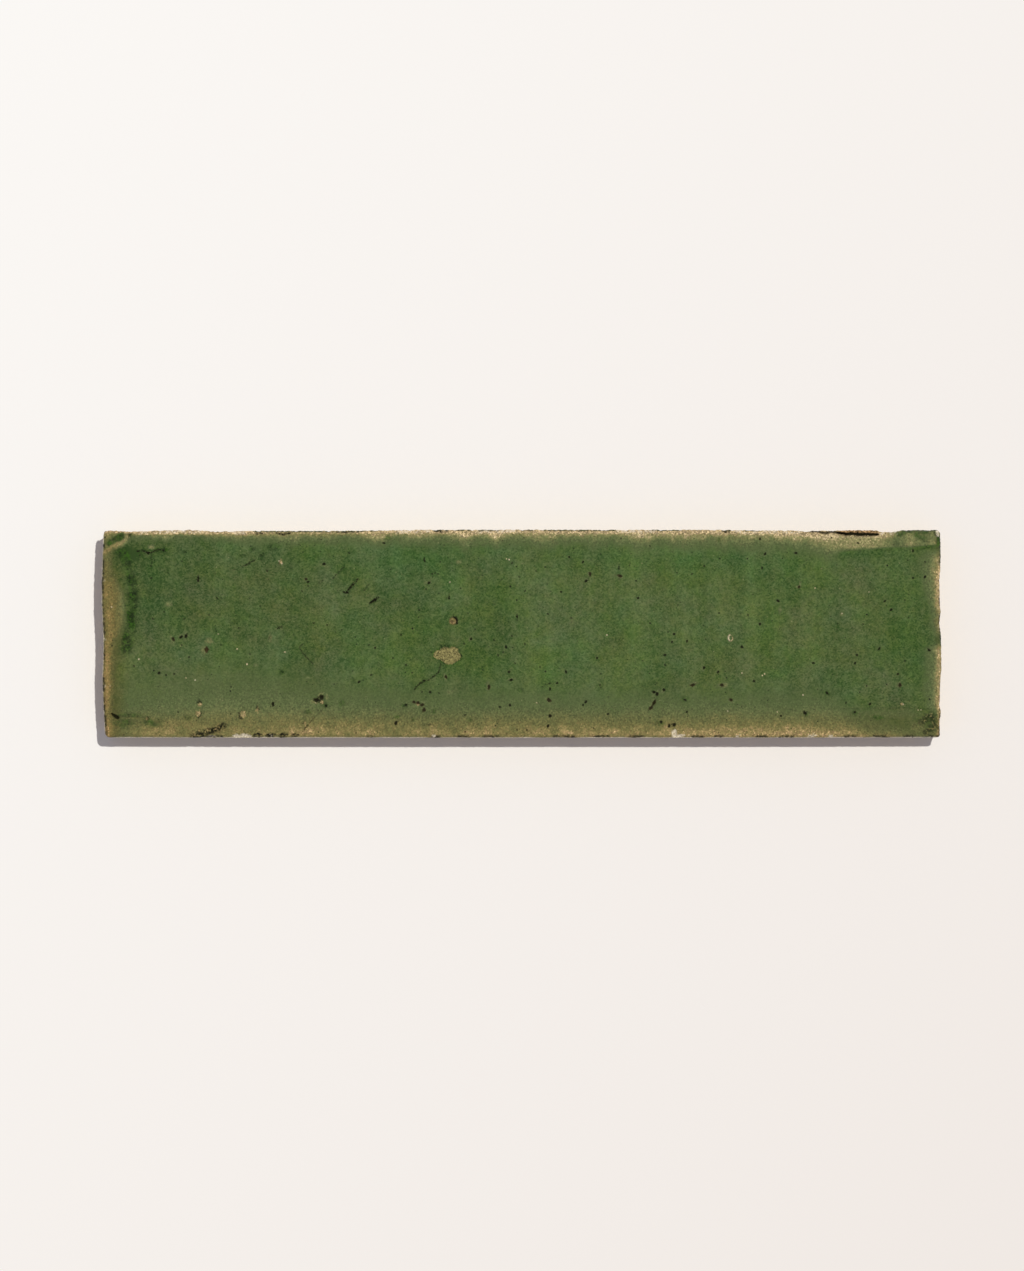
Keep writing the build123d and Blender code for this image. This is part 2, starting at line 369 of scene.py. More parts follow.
# Soft smudges: middle and half sizes, then how much darker, or thinner where negative, the glaze is
smudges = [
    (252, 549, 4, 2.5, 0.7), (243, 556, 4, 2, 0.55), (262, 555, 4, 3, 0.5), (274, 547, 9, 4, 0.45),
    (282, 672, 3.5, 3, 0.75), (342, 703, 3.5, 4, 0.55), (388, 538, 4, 3, 0.5), (325, 705, 4, 3, 0.65),
    (308, 712, 4, 3, 0.5), (320, 699, 6, 5, 0.5), (353, 680, 3, 3, 0.4), (405, 705.5, 4, 2.5, 0.6),
    (878, 717.5, 6, 3, 0.7), (520, 690, 4, 3, 0.4), (719, 540, 2.5, 3, 0.5), (470, 720, 3, 2.5, 0.45),
    (413, 720, 2.5, 2, 0.6), (397, 717, 3, 2, 0.5), (153, 723.5, 8, 4, 0.4), (124, 723, 11, 5, 0.45),
    (450, 664, 13, 5, 0.35), (806, 714, 4, 3, 0.5), (685, 699, 5, 4, 0.4), (855, 713, 3, 3, 0.5),
    (130, 715.5, 15, 2.4, 0.5), (129.5, 535, 3, 3, 0.8), (160, 550, 7, 3, 0.5), (165, 550, 4, 3, 0.8),
    (235, 622, 5, 2, 0.5), (250, 616, 4, 2, 0.5), (219, 598, 4, 3, 0.45), (185, 552, 3, 2.5, 0.5),
    (188, 718, 5, 3, 0.5), (434, 711, 3, 3, 0.45), (827, 693, 4, 3, 0.5), (660, 723, 6, 3, 0.5),
    (932, 722, 9, 12, 0.4), (880, 714.5, 56, 5, -0.2), (169, 604, 4, 3, -0.45),
    (459, 562, 3.5, 2, -0.45), (450, 692, 5, 3, -0.35), (572, 622, 2.5, 4, -0.3),
    (780, 610, 2, 3, -0.35), (151.5, 547, 3.5, 2.5, -0.75), (209, 641, 4.5, 3.5, -0.5),
    (256, 665, 3, 2, -0.35), (918, 728, 10, 8, -0.35), (931, 541, 5, 1.5, -0.7), (158, 729, 9, 3, -0.4),
    (842, 614, 2.5, 3, -0.35), (204, 650, 3.5, 5, -0.55), (725, 685, 3.5, 3, -0.5),
    (327, 697, 2.5, 4, -0.5), (356, 725, 5, 4, -0.5), (383, 715.5, 3, 2, -0.5), (464, 725, 4, 2, -0.4),
    (132, 718, 14, 1.2, -0.5), (308, 678, 3.5, 1.5, -0.4), (270, 638, 2, 5, -0.4),
    (306, 725, 2.5, 5, -0.6), (165, 686, 12, 6, -0.2),
]


def addSmudges(marks):
    for cx, cy, rx, ry, amount in smudges:
        near = marks.away(cx, cy, rx, ry) * (1 + 0.4 * marks.wobble)
        amount *= marks.shapes.uniform(0.9, 1.1)
        look = "deep" if amount > 0 else "thin"
        marks.show(look, abs(amount) * within(near, 0.4, 1.2) * (1 + 0.8 * marks.broken))


# Chips that laid the clay open: middle, width, and the side of a dark crescent in degrees from +X
chips = [(243, 714.5, 7.5, 200), (198, 714, 6.0, 320), (200, 704.5, 4.5, 90), (147, 719, 3.6, 30),
         (306, 579, 2.6, 0), (281, 562, 3.6, 180), (322, 702, 4.5, 180), (418, 704, 3.6, 45),
         (257, 710, 4.0, 60), (902, 704, 3.2, 180), (305, 723, 3.4, 180), (199, 731, 3.0, 250),
         (208, 730, 3.5, 80), (216, 729, 3.0, 300)]


def addChips(marks):
    for cx, cy, across, side in chips:
        near = marks.away(cx, cy) * (1 + 0.5 * marks.wobble) * 2 / across
        towards = math.radians(side)
        facing = ((marks.px - cx) * math.cos(towards) - (marks.py - cy) * math.sin(towards)) * 2 / across
        marks.rise -= 0.1 * within(near, 0.6, 1.1)
        marks.show("thin", 0.88 * within(near, 0.75, 1.15))
        marks.show("ochre", 0.35 * within(near, 0.8, 1.2))
        marks.show("rust", 0.15 * within(near, 0.55, 1.25))
        marks.show("pore", 0.8 * within(abs(near - 1.05), 0.1, 0.4) * ease(facing, 0.2, 0.8))


# Pale grains of sand in the glaze
grains = [(218, 634), (186, 678), (195, 680), (247, 664), (285, 652), (112, 607), (110, 686),
          (506.5, 559), (509, 559.5), (450, 582), (607, 635), (762.6, 675.5), (764.5, 673.8),
          (742, 673), (727.8, 711), (842, 613.6), (803, 695), (777, 712), (918, 710), (921, 710),
          (279, 561), (282, 563.5), (903, 704), (315.6, 703), (237, 649), (139, 659), (815, 588),
          (869, 592), (536.5, 702.7)]


def addGrains(marks):
    for cx, cy in grains:
        near = marks.away(cx, cy) * (1 + 0.6 * marks.wobble) / marks.shapes.uniform(0.7, 1.0)
        marks.rise += 0.04 * within(near, 0.3, 1.2)
        marks.show("thin", within(near, 0.5, 1.25))
        marks.show("pale", marks.shapes.uniform(0.1, 0.5) * within(near, 0.35, 1.2))


# The lost flake: middle and half sizes of its lobes
flake = {"lobes": [(439.8, 654.8, 6.4, 5.0), (445.5, 654.5, 6.6, 7.8), (453.2, 653.8, 6.0, 7.2),
                   (456.2, 656.4, 4.8, 4.8), (449.6, 658.6, 7.2, 6.0)],
         "depth": 0.24}


def addFlake(marks):
    scar = np.full(len(marks.x), 9.0)
    for cx, cy, rx, ry in flake["lobes"]:
        scar = np.minimum(scar, marks.away(cx, cy, rx, ry) * (1 + 0.16 * marks.wobble))
    marks.rise -= flake["depth"] * within(scar, 0.88, 1.06) * (1 + 0.5 * marks.wobble)
    marks.show("bare", within(scar, 0.9, 1.04))
    # A dark green rim round the scar in the colour of deep glaze: painted shade at the scar's edge
    marks.show("deep", 0.9 * within(abs(scar - 1.1), 0.04, 0.3) * (0.7 + 0.9 * marks.broken))


# The burst over a lime grain, which is still stuck in it, with painted shade in its hollow on the side away
# from the sun
burst = {
    "at": (453, 621),
    "across": 8.5,
    "depth": 0.5,
    "grainAt": (452.4, 621.2),
    "grainAcross": 5.0,
    "grainHeight": 0.42,
    "hollowAt": (452.4, 621),
}


def addBurst(marks):
    cx, cy = burst["at"]
    near = marks.away(cx, cy) * (1 + 0.2 * marks.wobble) * 2 / burst["across"]
    grain = marks.away(*burst["grainAt"]) * (1 + 0.3 * marks.wobble) * 2 / burst["grainAcross"]
    shaded = ease(marks.px - cx + 0.4 * (cy - marks.py), 0.6, 2.8)
    marks.rise -= burst["depth"] * within(near, 0.6, 1.15)
    marks.rise += burst["grainHeight"] * within(grain, 0.3, 1.1)
    marks.show("thin", 0.85 * within(near, 0.6, 1.1))
    marks.show("ochre", 0.55 * within(near, 0.8, 1.2))
    marks.show("rust", 0.32 * within(near, 0.5, 1.1))
    # A dark crescent on the side of the hollow away from the sun: painted shade
    marks.show("pore", 0.95 * within(abs(near - 0.95), 0.15, 0.45) * shaded)
    marks.show("pore", 0.6 * within(marks.away(*burst["hollowAt"]), 0.5, 1.5))


# A raised ring of thin glaze, open on one side: middle, then half sizes inside and outside
paleRing = {"at": (730.6, 637.8), "inner": (1.2, 2.2), "outer": (3.0, 4.0), "height": 0.05}


def addPaleRing(marks):
    cx, cy = paleRing["at"]
    inner = marks.away(cx, cy, *paleRing["inner"])
    outer = marks.away(cx, cy, *paleRing["outer"])
    opened = ease(cx - marks.px + marks.py - cy, -4.5, -2.0)
    ring = ease(inner, 0.8, 1.3) * within(outer, 0.8, 1.15) * opened
    marks.rise += paleRing["height"] * ring
    marks.show("thin", 0.95 * ring)
    marks.show("pale", 0.3 * ring * ease(cx - marks.px, -0.5, 1.5))


# White chips out of the front edge and off the back right corner: middle and half sizes of their lobes
whiteChips = {"lobes": [(674.5, 734.5, 2.8, 4.4), (680, 736.4, 4.5, 2.2), (937.6, 533, 1.8, 2.8),
                        (237, 736.2, 4, 1.6), (244, 735.8, 5, 2.2), (249, 736.4, 3, 1.4),
                        (211, 736.8, 5, 1.3)],
              "depth": 0.4}


def addWhiteChips(marks):
    grainy = np.clip(0.8 + 0.9 * marks.broken, 0.35, 1)
    for cx, cy, rx, ry in whiteChips["lobes"]:
        near = marks.away(cx, cy, rx, ry) * (1 + 0.7 * marks.wobble)
        marks.rise -= whiteChips["depth"] * within(near, 0.4, 1.05)
        marks.show("pale", 0.9 * within(near, 0.8, 1.1) * grainy)


# The split along the back edge: an open gap, a hairline that runs on from it, and the strip that has dropped
split = {
    "gap": [(838, 533), (846, 534.2), (852, 533.6), (860, 534.5), (868, 534.2), (878, 534.5)],
    "gapAcross": 3.4,
    "depth": 1.6,
    "hair": [(811, 531.2), (816, 531), (822, 532.6), (826, 533.2), (831, 531.6), (838, 532.6),
             (845, 533.5)],
    "hairAcross": 1.8,
    "strip": {"starts": (836, 842), "ends": (876, 882), "front": (532.6, 533.6)},
    "drop": 0.5,
}


def addSplit(marks):
    gap, share = alongPath(marks.x, marks.y, split["gap"])
    taper = 0.55 + 0.45 * np.sin(math.pi * np.clip(share, 0.1, 0.9))
    gap = gap * (1 + 0.6 * marks.wobble) / taper
    marks.rise -= split["depth"] * within(gap, 0.4, split["gapAcross"] * 0.62)
    # The gap is painted near-black: dirt, with painted shade in the crack
    marks.show("pore", within(gap, 0.8, split["gapAcross"] * 0.75))
    edges = split["strip"]
    strip = ease(marks.px, *edges["starts"]) * within(marks.px, *edges["ends"])
    strip = strip * within(marks.py, *edges["front"])
    marks.rise -= split["drop"] * strip
    marks.show("ochre", strip)
    marks.show("rust", 0.2 * strip)
    marks.show("pore", 0.6 * strip * ease(marks.broken, 0.15, 0.5))
    hair = alongPath(marks.x, marks.y, split["hair"])[0]
    marks.rise -= 0.5 * split["depth"] * within(hair, 0.2, split["hairAcross"])
    # The hairline is painted near-black too: dirt, with painted shade in the crack
    marks.show("pore", 0.9 * within(hair, 0.4, split["hairAcross"] * 1.2))


# The fold in the front left corner: a wedge-shaped gap, and a crease that runs on from it
fold = {
    "wedge": [(111.5, 713.8), (117, 717.2)],
    "across": 4.4,
    "depth": 0.7,
    "crease": [(118, 718), (136, 718), (146, 719)],
    "creaseDepth": 0.12,
    "fine": {"start": (109, 714), "step": (2.8, 0.4), "count": 16, "level": 14},  # fine mesh along both
}


def addFold(marks):
    gap, share = alongPath(marks.x, marks.y, fold["wedge"])
    near = gap * (1 + 0.3 * marks.wobble) * 2 / (fold["across"] * (0.4 + 0.6 * np.clip(share, 0, 1)))
    marks.rise -= fold["depth"] * within(near, 0.3, 1.2)
    # The wedge is painted near-black: dirt, with painted shade in the gap
    marks.show("pore", 0.95 * within(near, 0.5, 1.35))
    crease = alongPath(marks.x, marks.y, fold["crease"])[0]
    marks.rise -= fold["creaseDepth"] * within(crease, 0.2, 1.4)
    marks.rise += fold["creaseDepth"] * within(abs(crease - 2.2), 0.3, 2.0)


# The lip at the back right corner: a low ridge, and a crease in front of it
lip = {
    "ridge": [(898, 540), (912, 541), (930, 536)],
    "across": 9.0,
    "height": 0.3,
    "crease": [(838, 549), (880, 548), (915, 547), (938, 542)],
    "creaseAcross": 5.0,
    "creaseDepth": 0.22,
}


def addLip(marks):
    ridge = alongPath(marks.x, marks.y, lip["ridge"])[0]
    marks.rise += lip["height"] * within(ridge, 0.5, lip["across"])
    gap, share = alongPath(marks.x, marks.y, lip["crease"])
    marks.rise -= lip["creaseDepth"] * share * within(gap, 0.3, lip["creaseAcross"])


# Crumbs along each edge, as stretches in photo pixels: dark ones, and pale ones where the clay broke off.
# Then how far in they reach, how green and how light they are, and how strong and wide the painted pale
# highlight along the edge is
edgeCrumbs = {
    "back": {
        "dark": [(253, 275), (275, 293), (293, 330), (335, 365), (370, 376), (433, 449), (457, 470),
                 (478, 499), (522, 533), (544, 616), (650, 680), (724, 731), (745, 760), (902, 938)],
        "pale": [(140, 150), (156, 201), (229, 245), (396, 430), (473, 523), (616, 658), (735, 800),
                 (880, 898)],
        "reach": 1.7, "green": 0.9, "lightness": 0.6, "line": (0.0, 1.0)},
    "front": {
        "dark": [(192, 223), (253, 262), (266, 275), (279, 286), (291, 297), (367, 373), (431, 440),
                 (457, 470), (483, 498), (553, 575), (592, 610), (629, 644), (691, 704), (714, 724),
                 (755, 767), (778, 794), (844, 856), (874, 890), (903, 915), (926, 940)],
        "pale": [(209, 213), (234, 250), (269, 273), (432, 436), (673, 683), (807, 817), (829, 833),
                 (736, 741)],
        "reach": 3.2, "green": 0.0, "lightness": 0.75, "line": (1.0, 0.75)},
    "left": {
        "dark": [(544, 548), (560, 575), (576, 590), (591, 594), (597, 599), (604, 606), (609, 614),
                 (618, 620), (622, 635), (649, 660), (675, 692), (697, 734)],
        "pale": [(576, 577), (580, 581), (620.5, 621.5), (637, 639.5), (685, 687)],
        "reach": 3.0, "green": 0.0, "lightness": 0.6, "line": (1.0, 0.8)},
    "right": {
        "dark": [(537, 566), (597, 606), (613, 624), (628, 645), (709, 737)],
        "pale": [(556, 566), (584, 598), (606, 616), (624, 632), (650, 690)],
        "reach": 1.9, "green": 0.4, "lightness": 0.1, "line": (0.0, 1.0)},
}


def alongStretches(place, stretches):
    # 1 along the given stretches of an edge, 0 elsewhere
    found = np.zeros(len(place))
    for start, end in stretches:
        found = np.maximum(found, ease(place, start - 1, start + 1) * within(place, end - 1, end + 1))
    return found


def addEdgeCrumbs(marks):
    broken = marks.broken
    for name, (inside, place) in edgeDistances(marks.x, marks.y).items():
        crumbs = edgeCrumbs[name]
        close = within(inside + 0.8 * broken, crumbs["reach"] * 0.5, crumbs["reach"] * 1.2)
        dark = alongStretches(place, crumbs["dark"]) * close * ease(broken, -0.45, 0.0)
        pale = alongStretches(place, crumbs["pale"]) * within(inside + 2 * broken, 1.0, 4.0)
        pale = pale * ease(-broken, -0.1, 0.2)
        marks.rise -= 0.12 * dark
        marks.show("deep", crumbs["green"] * dark)
        marks.show("pore", (0.9 - 0.5 * crumbs["green"]) * dark)
        marks.show("pale", crumbs["lightness"] * pale)
        # A painted pale highlight along the front and left edges, broken up, which clears the dark there
        strength, width = crumbs["line"]
        line = strength * within(inside + 0.25 * broken, width * 0.6, width * 1.25)
        line *= (1 - 0.8 * dark * ease(broken, 0.1, 0.5)) * marks.edgeHighlightBreaks
        marks.show("pale", line)
        marks.looks["pore"] *= 1 - line


# Bands of crumbs in the two front corners
crumbBands = [{"path": [(193, 736), (206, 733), (214, 730), (223, 726)], "across": 9.0, "dark": 1.0},
              {"path": [(922, 722), (931, 715), (936, 726), (926, 733)], "across": 9.0, "dark": 0.6}]


def addCrumbBands(marks):
    dark = ease(marks.broken, -0.35, 0.0)
    for band in crumbBands:
        gap = alongPath(marks.x, marks.y, band["path"])[0]
        near = within(gap + 2 * marks.wobble, 0.5, band["across"] / 2)
        marks.rise -= 0.2 * near * dark
        marks.show("pore", band["dark"] * np.sqrt(near) * dark)
        marks.show("thin", 0.8 * near * ease(-marks.broken, 0.0, 0.3))


def relief(x, y):
    marks = FaceMarks(x, y)
    for add in (addPores, addGrooves, addSmudges, addChips, addGrains, addFlake, addBurst, addPaleRing,
                addWhiteChips, addSplit, addFold, addLip, addEdgeCrumbs, addCrumbBands):
        add(marks)
    return marks.rise, marks.looks


# How thin the glaze is at distances from each edge, 0 where it is full and 1 where it has run off, and then
# how wide and how strong that is at places along the edge. Distances and places are in photo pixels
thinGlaze = {
    "back": {
        "fade": [(0, 1.0), (3, 1.0), (4, 0.93), (5, 0.83), (6, 0.76), (8, 0.64), (10, 0.5), (13, 0.27),
                 (16, 0.16), (22, 0.03), (26, 0.0)],
        "width": [(105, 0.5), (140, 0.45), (210, 0.5), (255, 0.75), (330, 0.7), (400, 0.8), (450, 0.9),
                  (560, 0.85), (650, 1.0), (790, 1.05), (820, 1.4), (845, 2.0), (885, 1.6), (896, 1.1),
                  (905, 0.6), (940, 0.6)],
        "strength": [(105, 0.9), (115, 1.0), (250, 1.0), (275, 0.88), (340, 0.9), (400, 1.0),
                     (890, 1.0), (898, 0.9), (903, 0.5), (940, 0.4)],
    },
    "front": {
        "fade": [(0, 0.68), (1.5, 0.72), (3, 0.76), (5, 0.75), (7, 0.71), (10, 0.63), (13, 0.54),
                 (16, 0.46), (20, 0.38), (25, 0.29), (32, 0.19), (45, 0.06), (60, 0.0)],
        "width": [(105, 0.8), (130, 1.3), (190, 1.45), (260, 1.55), (310, 1.3), (400, 1.1), (830, 1.0),
                  (850, 0.7), (880, 0.45), (905, 0.35), (940, 0.5)],
        "strength": [(105, 0.6), (125, 0.68), (150, 0.84), (230, 0.9), (280, 0.98), (330, 0.92),
                     (400, 0.89), (440, 0.98), (640, 1.0), (690, 1.09), (830, 1.15), (880, 0.88),
                     (910, 0.55), (940, 0.5)],
    },
    "left": {
        "fade": [(0, 0.4), (1, 0.58), (2, 0.68), (4, 0.72), (6, 0.68), (8, 0.53), (10, 0.28),
                 (12, 0.08), (15, 0.0)],
        "width": [(540, 0.9), (575, 0.95), (588, 1.5), (612, 1.9), (630, 1.6), (645, 1.15), (690, 1.05),
                  (710, 0.75), (737, 0.8)],
        "strength": [(531, 0.75), (560, 0.72), (580, 0.88), (640, 1.0), (660, 1.1), (695, 1.1),
                     (712, 0.85), (737, 0.75)],
    },
    "right": {
        "fade": [(0, 1.0), (1.5, 0.93), (2.5, 0.86), (3.5, 0.79), (4.5, 0.77), (5.5, 0.7), (6.5, 0.59),
                 (8, 0.42), (10, 0.28), (13, 0.18), (18, 0.04), (24, 0.0)],
        "width": [(531, 0.6), (552, 1.4), (570, 1.3), (590, 1.0), (612, 0.65), (634, 0.5), (640, 0.5),
                  (648, 1.0), (690, 1.05), (708, 0.9), (716, 0.6), (737, 0.55)],
        "strength": [(531, 0.3), (550, 0.15), (556, 0.7), (572, 1.0), (600, 1.0), (616, 0.85),
                     (630, 0.85), (637, 0.1), (643, 0.1), (648, 0.85), (690, 0.9), (712, 1.0),
                     (737, 1.0)],
    },
}
# Thin glaze is browner by the edges: how much, and over which distances it goes
ochre = {
    "left": {"most": [(531, 0.4), (580, 1.0), (737, 1.0)], "over": (10, 30)},
    "front": {"most": [(103, 0.6), (941, 0.6)], "over": (14, 34)},
    "right": {"most": [(531, 0.45), (737, 0.45)], "over": (3, 7)},
    "back": {"most": [(103, 0.25), (941, 0.2)], "over": (3, 7)},
}
# At the back right the thin glaze stops at a line: where that is, and how thin the glaze is behind it
ledge = {
    "line": [(830, 551), (850, 549.5), (870, 548.5), (885, 547.3), (900, 547), (915, 546.5),
             (925, 545.5), (938, 545)],
    "thin": [(830, 0.72), (850, 0.79), (870, 0.77), (884, 0.69), (892, 0.48), (897, 0.25), (903, 0.5),
             (910, 0.74), (916, 0.67), (922, 0.45), (930, 0.6), (938, 0.4)],
    "rim": [(830, 0.24), (884, 0.26), (896, 0.4), (902, 0.15), (906, 0.0)],  # thinner still by the edge
    "soft": [(830, 3.5), (850, 2.6), (870, 1.5), (890, 0.9)],  # how softly it stops
    "starts": (826, 846),
}
# Pools where the glaze stands deep and green, and patches where it is thin, in photo pixels
pools = [
    {"path": [(109, 543), (115, 540), (121, 536.5)], "across": 7, "depth": 0.6},
    {"path": [(122, 552), (127, 562), (130, 575), (132, 590), (133, 605), (132, 620), (129, 640),
              (126, 652)],
     "across": 11, "depth": 0.72},
    {"path": [(125, 563), (126, 585)], "across": 9, "depth": 0.35},
    {"path": [(131, 582), (134, 603)], "across": 9, "depth": 0.5},
    {"path": [(130, 614), (132, 625)], "across": 8, "depth": 1.25},
    {"path": [(127, 634), (124, 651)], "across": 8, "depth": 0.7},
    {"path": [(147, 721), (152, 724), (158, 723)], "across": 10, "depth": 0.36},
    {"path": [(846, 551.5), (880, 550), (905, 549), (918, 549)], "across": 3.5, "depth": 0.3},
    {"path": [(916, 548.5), (928, 547.5), (939, 547)], "across": 5, "depth": 0.65},
    {"path": [(899, 534), (908, 531.5), (926, 532)], "across": 6, "depth": 0.48},
    {"path": [(917, 535), (925, 539)], "across": 6, "depth": 0.38},
    {"path": [(938.5, 537), (938.5, 546)], "across": 4, "depth": 0.8},
]
thinPatches = [
    {"path": [(104, 553), (112, 546.5), (121, 543), (127, 537)], "across": 5.2, "thin": 0.77},
    {"path": [(113, 582), (118, 594), (120.5, 606), (119, 620), (114, 636)], "across": 7, "thin": 0.5},
    {"path": [(136, 532.6), (160, 532.6), (205, 532.2), (250, 532.8)], "across": 4.6, "thin": 0.93},
    {"path": [(218, 716), (300, 717)], "across": 14, "thin": 0.5},
    {"path": [(150, 707), (218, 708)], "across": 12, "thin": 0.27},
]
cornerMarks = (thinPatches[0], pools[0])  # the two in the back left corner, which have crisp rims
# Slow changes over the face: middle, half sizes, lighter or darker, greener or more olive
tones = [
    (129, 553, 13, 9, -4.2, -0.2), (152, 570, 46, 60, -0.75, 0.0), (141, 578, 12, 14, -0.6, 0.0),
    (870, 625, 75, 110, -0.55, 0.0), (540, 556, 240, 17, -0.15, 0.9), (730, 561, 70, 13, -0.45, 0.6),
    (650, 590, 70, 55, 0.45, -0.05), (310, 562, 40, 10, -0.6, 0.1), (400, 566, 70, 18, -0.35, 0.2),
    (270, 690, 120, 40, 0.2, -0.3), (160, 690, 40, 60, 0.1, -0.6), (470, 640, 50, 60, -0.25, 0.25),
    (545, 655, 60, 60, 0.05, 0.3), (760, 640, 90, 60, 0.2, 0.0), (190, 620, 50, 90, 0.0, -0.3),
    (860, 700, 60, 14, -0.3, 0.0), (740, 548, 110, 7, 0.5, 0.2), (862, 554, 40, 4, -0.7, 0.2),
]


def glazeCover(x, y):
    # How thin the glaze is, how deep it stands in its pools, how brown it is and how its colour drifts
    px, py = toPixels(x, y)
    shake = 2.2 * noiseAt(x, y, 0.28, 51.0) + 1.6 * noiseAt(x, y, 1.1, 52.0)
    tongues = 4 * noiseAt(x, 0.3 * y, 0.2, 57.0) + 3 * noiseAt(x, 0.3 * y, 0.55, 58.0)
    patchy = 1 + 0.25 * noiseAt(x, y, 0.12, 53.0) + 0.3 * noiseAt(x, y, 0.45, 55.0)
    full = np.ones(len(x))
    brown = np.zeros(len(x))
    for name, (inside, place) in edgeDistances(x, y).items():
        edge = thinGlaze[name]
        sway = shake + (tongues if name == "back" else 0)
        moved = (inside + sway * ease(inside, 2, 8)) / profile(place, edge["width"])
        amount = profile(moved, edge["fade"]) * profile(place, edge["strength"])
        if name == "back":
            beyond = (py - profile(px, ledge["line"]) + 0.25 * shake) / profile(px, ledge["soft"])
            level = profile(px, ledge["thin"]) + profile(px, ledge["rim"]) * within(inside, 3, 11)
            amount += ease(px, *ledge["starts"]) * (level * within(beyond, -1, 1) - amount)
        full *= 1 - np.clip(amount * np.where(amount > 0.75, 1, patchy), 0, 1)
        most = profile(place, ochre[name]["most"])
        brown = np.maximum(brown, most * within(inside + shake, *ochre[name]["over"]))
    for patch in thinPatches:
        gap = alongPath(x, y, patch["path"])[0]
        full = np.minimum(full, 1 - patch["thin"] * within(gap + 0.5 * shake, 1, patch["across"]))

    curdled = noiseAt(x, y, 0.5, 54.0) + 0.7 * noiseAt(x, y, 1.3, 56.0)
    deep = np.zeros(len(x))
    for pool in pools:
        gap = alongPath(x, y, pool["path"])[0]
        across = pool["across"]
        spread = within(gap + shake * across / 12, across * 0.2, across * 0.65)
        deep = np.maximum(deep, pool["depth"] * spread * (1 + 0.7 * curdled))
    full = np.maximum(full, np.clip(1.6 * deep, 0, 1))

    light = np.zeros(len(x))
    hue = np.zeros(len(x))
    for cx, cy, rx, ry, lighter, greener in tones:
        reach = np.exp(-((px - cx) / rx) ** 2 - ((py - cy) / ry) ** 2)
        light += lighter * reach
        hue += greener * reach
    return {"thin": 1 - full, "deep": np.clip(deep, 0, 1), "ochre": brown, "light": light, "hue": hue}


# Mesh round the marks: how far it is fine, in shares of a mark's width and in pixels past that, its step
# in mm, and how the step grows with the width
fineness = {
    "pores": {"reach": 0.75, "past": 1.2, "step": 0.085, "growth": 0.022},
    "chips": {"reach": 0.7, "step": 0.17},
    "grains": {"past": 1.8, "step": 0.14},
    "smudges": {"reach": 1.2, "step": 0.3},
    "grooves": {"reach": 0.7, "past": 0.6, "step": 0.16},
    "flake": {"reach": 1.25, "step": 0.18},
    "burst": {"reach": 0.75, "step": 0.14},
    "paleRing": {"past": 6.0, "step": 0.17},
    "fold": {"past": 4.5, "step": 0.22},
    "bands": {"reach": 0.5, "past": 1.0, "step": 0.24},
}
grooveStop = 1.2  # about how far apart the fine patches along a groove are, in pixels
bandStops = 4  # how many there are between two points of a band
rowHeight = 0.866  # of a lattice of triangles with sides of 1


def finePoints():
    # Extra points round each mark, so that its rim is sharp
    found = []

    def fill(kind, px, py, across=0.0):
        fine = fineness[kind]
        step = fine["step"] + fine.get("growth", 0.0) * across
        reach = (fine.get("reach", 0.0) * across + fine.get("past", 0.0)) * mmPerPixel
        cx, cy = toFace(px, py)
        count = int(reach / step) + 1
        for row in range(-count, count + 1):
            for column in range(-count, count + 1):
                x = cx + step * (column + 0.5 * (row % 2)) + random.uniform(-0.1, 0.1) * step
                y = cy + step * row * rowHeight + random.uniform(-0.1, 0.1) * step
                if math.hypot(x - cx, y - cy) <= reach:
                    found.append((x, y))

    def fillAlong(kind, path, across, stopsFor):
        for (ax, ay), (bx, by) in zip(path[:-1], path[1:]):
            stops = stopsFor(math.hypot(bx - ax, by - ay))
            for i in range(stops + 1):
                t = i / stops
                fill(kind, ax + t * (bx - ax), ay + t * (by - ay), across)

    for group in pores.values():
        for px, py in group["at"]:
            fill("pores", px, py, group["across"])
    for px, py, across, side in chips:
        fill("chips", px, py, across)
    for px, py in grains:
        fill("grains", px, py)
    for px, py, rx, ry, amount in smudges:
        fill("smudges", px, py, max(rx, ry))
    for path, across, *rest in grooves:
        fillAlong("grooves", path, across, lambda length: max(2, round(length / grooveStop)))
    for px, py, rx, ry in flake["lobes"]:
        fill("flake", px, py, max(rx, ry))
    fill("burst", *burst["at"], burst["across"])
    fill("paleRing", *paleRing["at"])
    row = fold["fine"]
    for i in range(row["count"]):
        px = row["start"][0] + row["step"][0] * i
        py = row["start"][1] + row["step"][1] * min(i, row["level"])
        fill("fold", px, py)
    for band in (*crumbBands, *cornerMarks):
        fillAlong("bands", band["path"], band["across"], lambda length: bandStops)
    return found


def thinned(points, apart):
    # Leaves out points that crowd one that is kept already
    cells = {}
    kept = []
    for x, y in points:
        cx = int(x // apart)
        cy = int(y // apart)
        near = [p for i in (-1, 0, 1) for j in (-1, 0, 1) for p in cells.get((cx + i, cy + j), [])]
        if all((x - a) ** 2 + (y - b) ** 2 >= apart * apart for a, b in near):
            cells.setdefault((cx, cy), []).append((x, y))
            kept.append((x, y))
    return kept


def lattice(step):
    rows = int(2 * halfWidth / (step * rowHeight))
    columns = int(2 * halfLength / step)
    row, column = np.mgrid[0:rows + 1, 0:columns + 1]
    chance = np.random.default_rng(round(step * 1000))
    shake = chance.uniform(-0.15, 0.15, (2, rows + 1, columns + 1)) * step
    x = -halfLength + step * (column + 0.5 * (row % 2)) + shake[0]
    y = -halfWidth + step * rowHeight * row + shake[1]
    return np.column_stack([x.ravel(), y.ravel()])


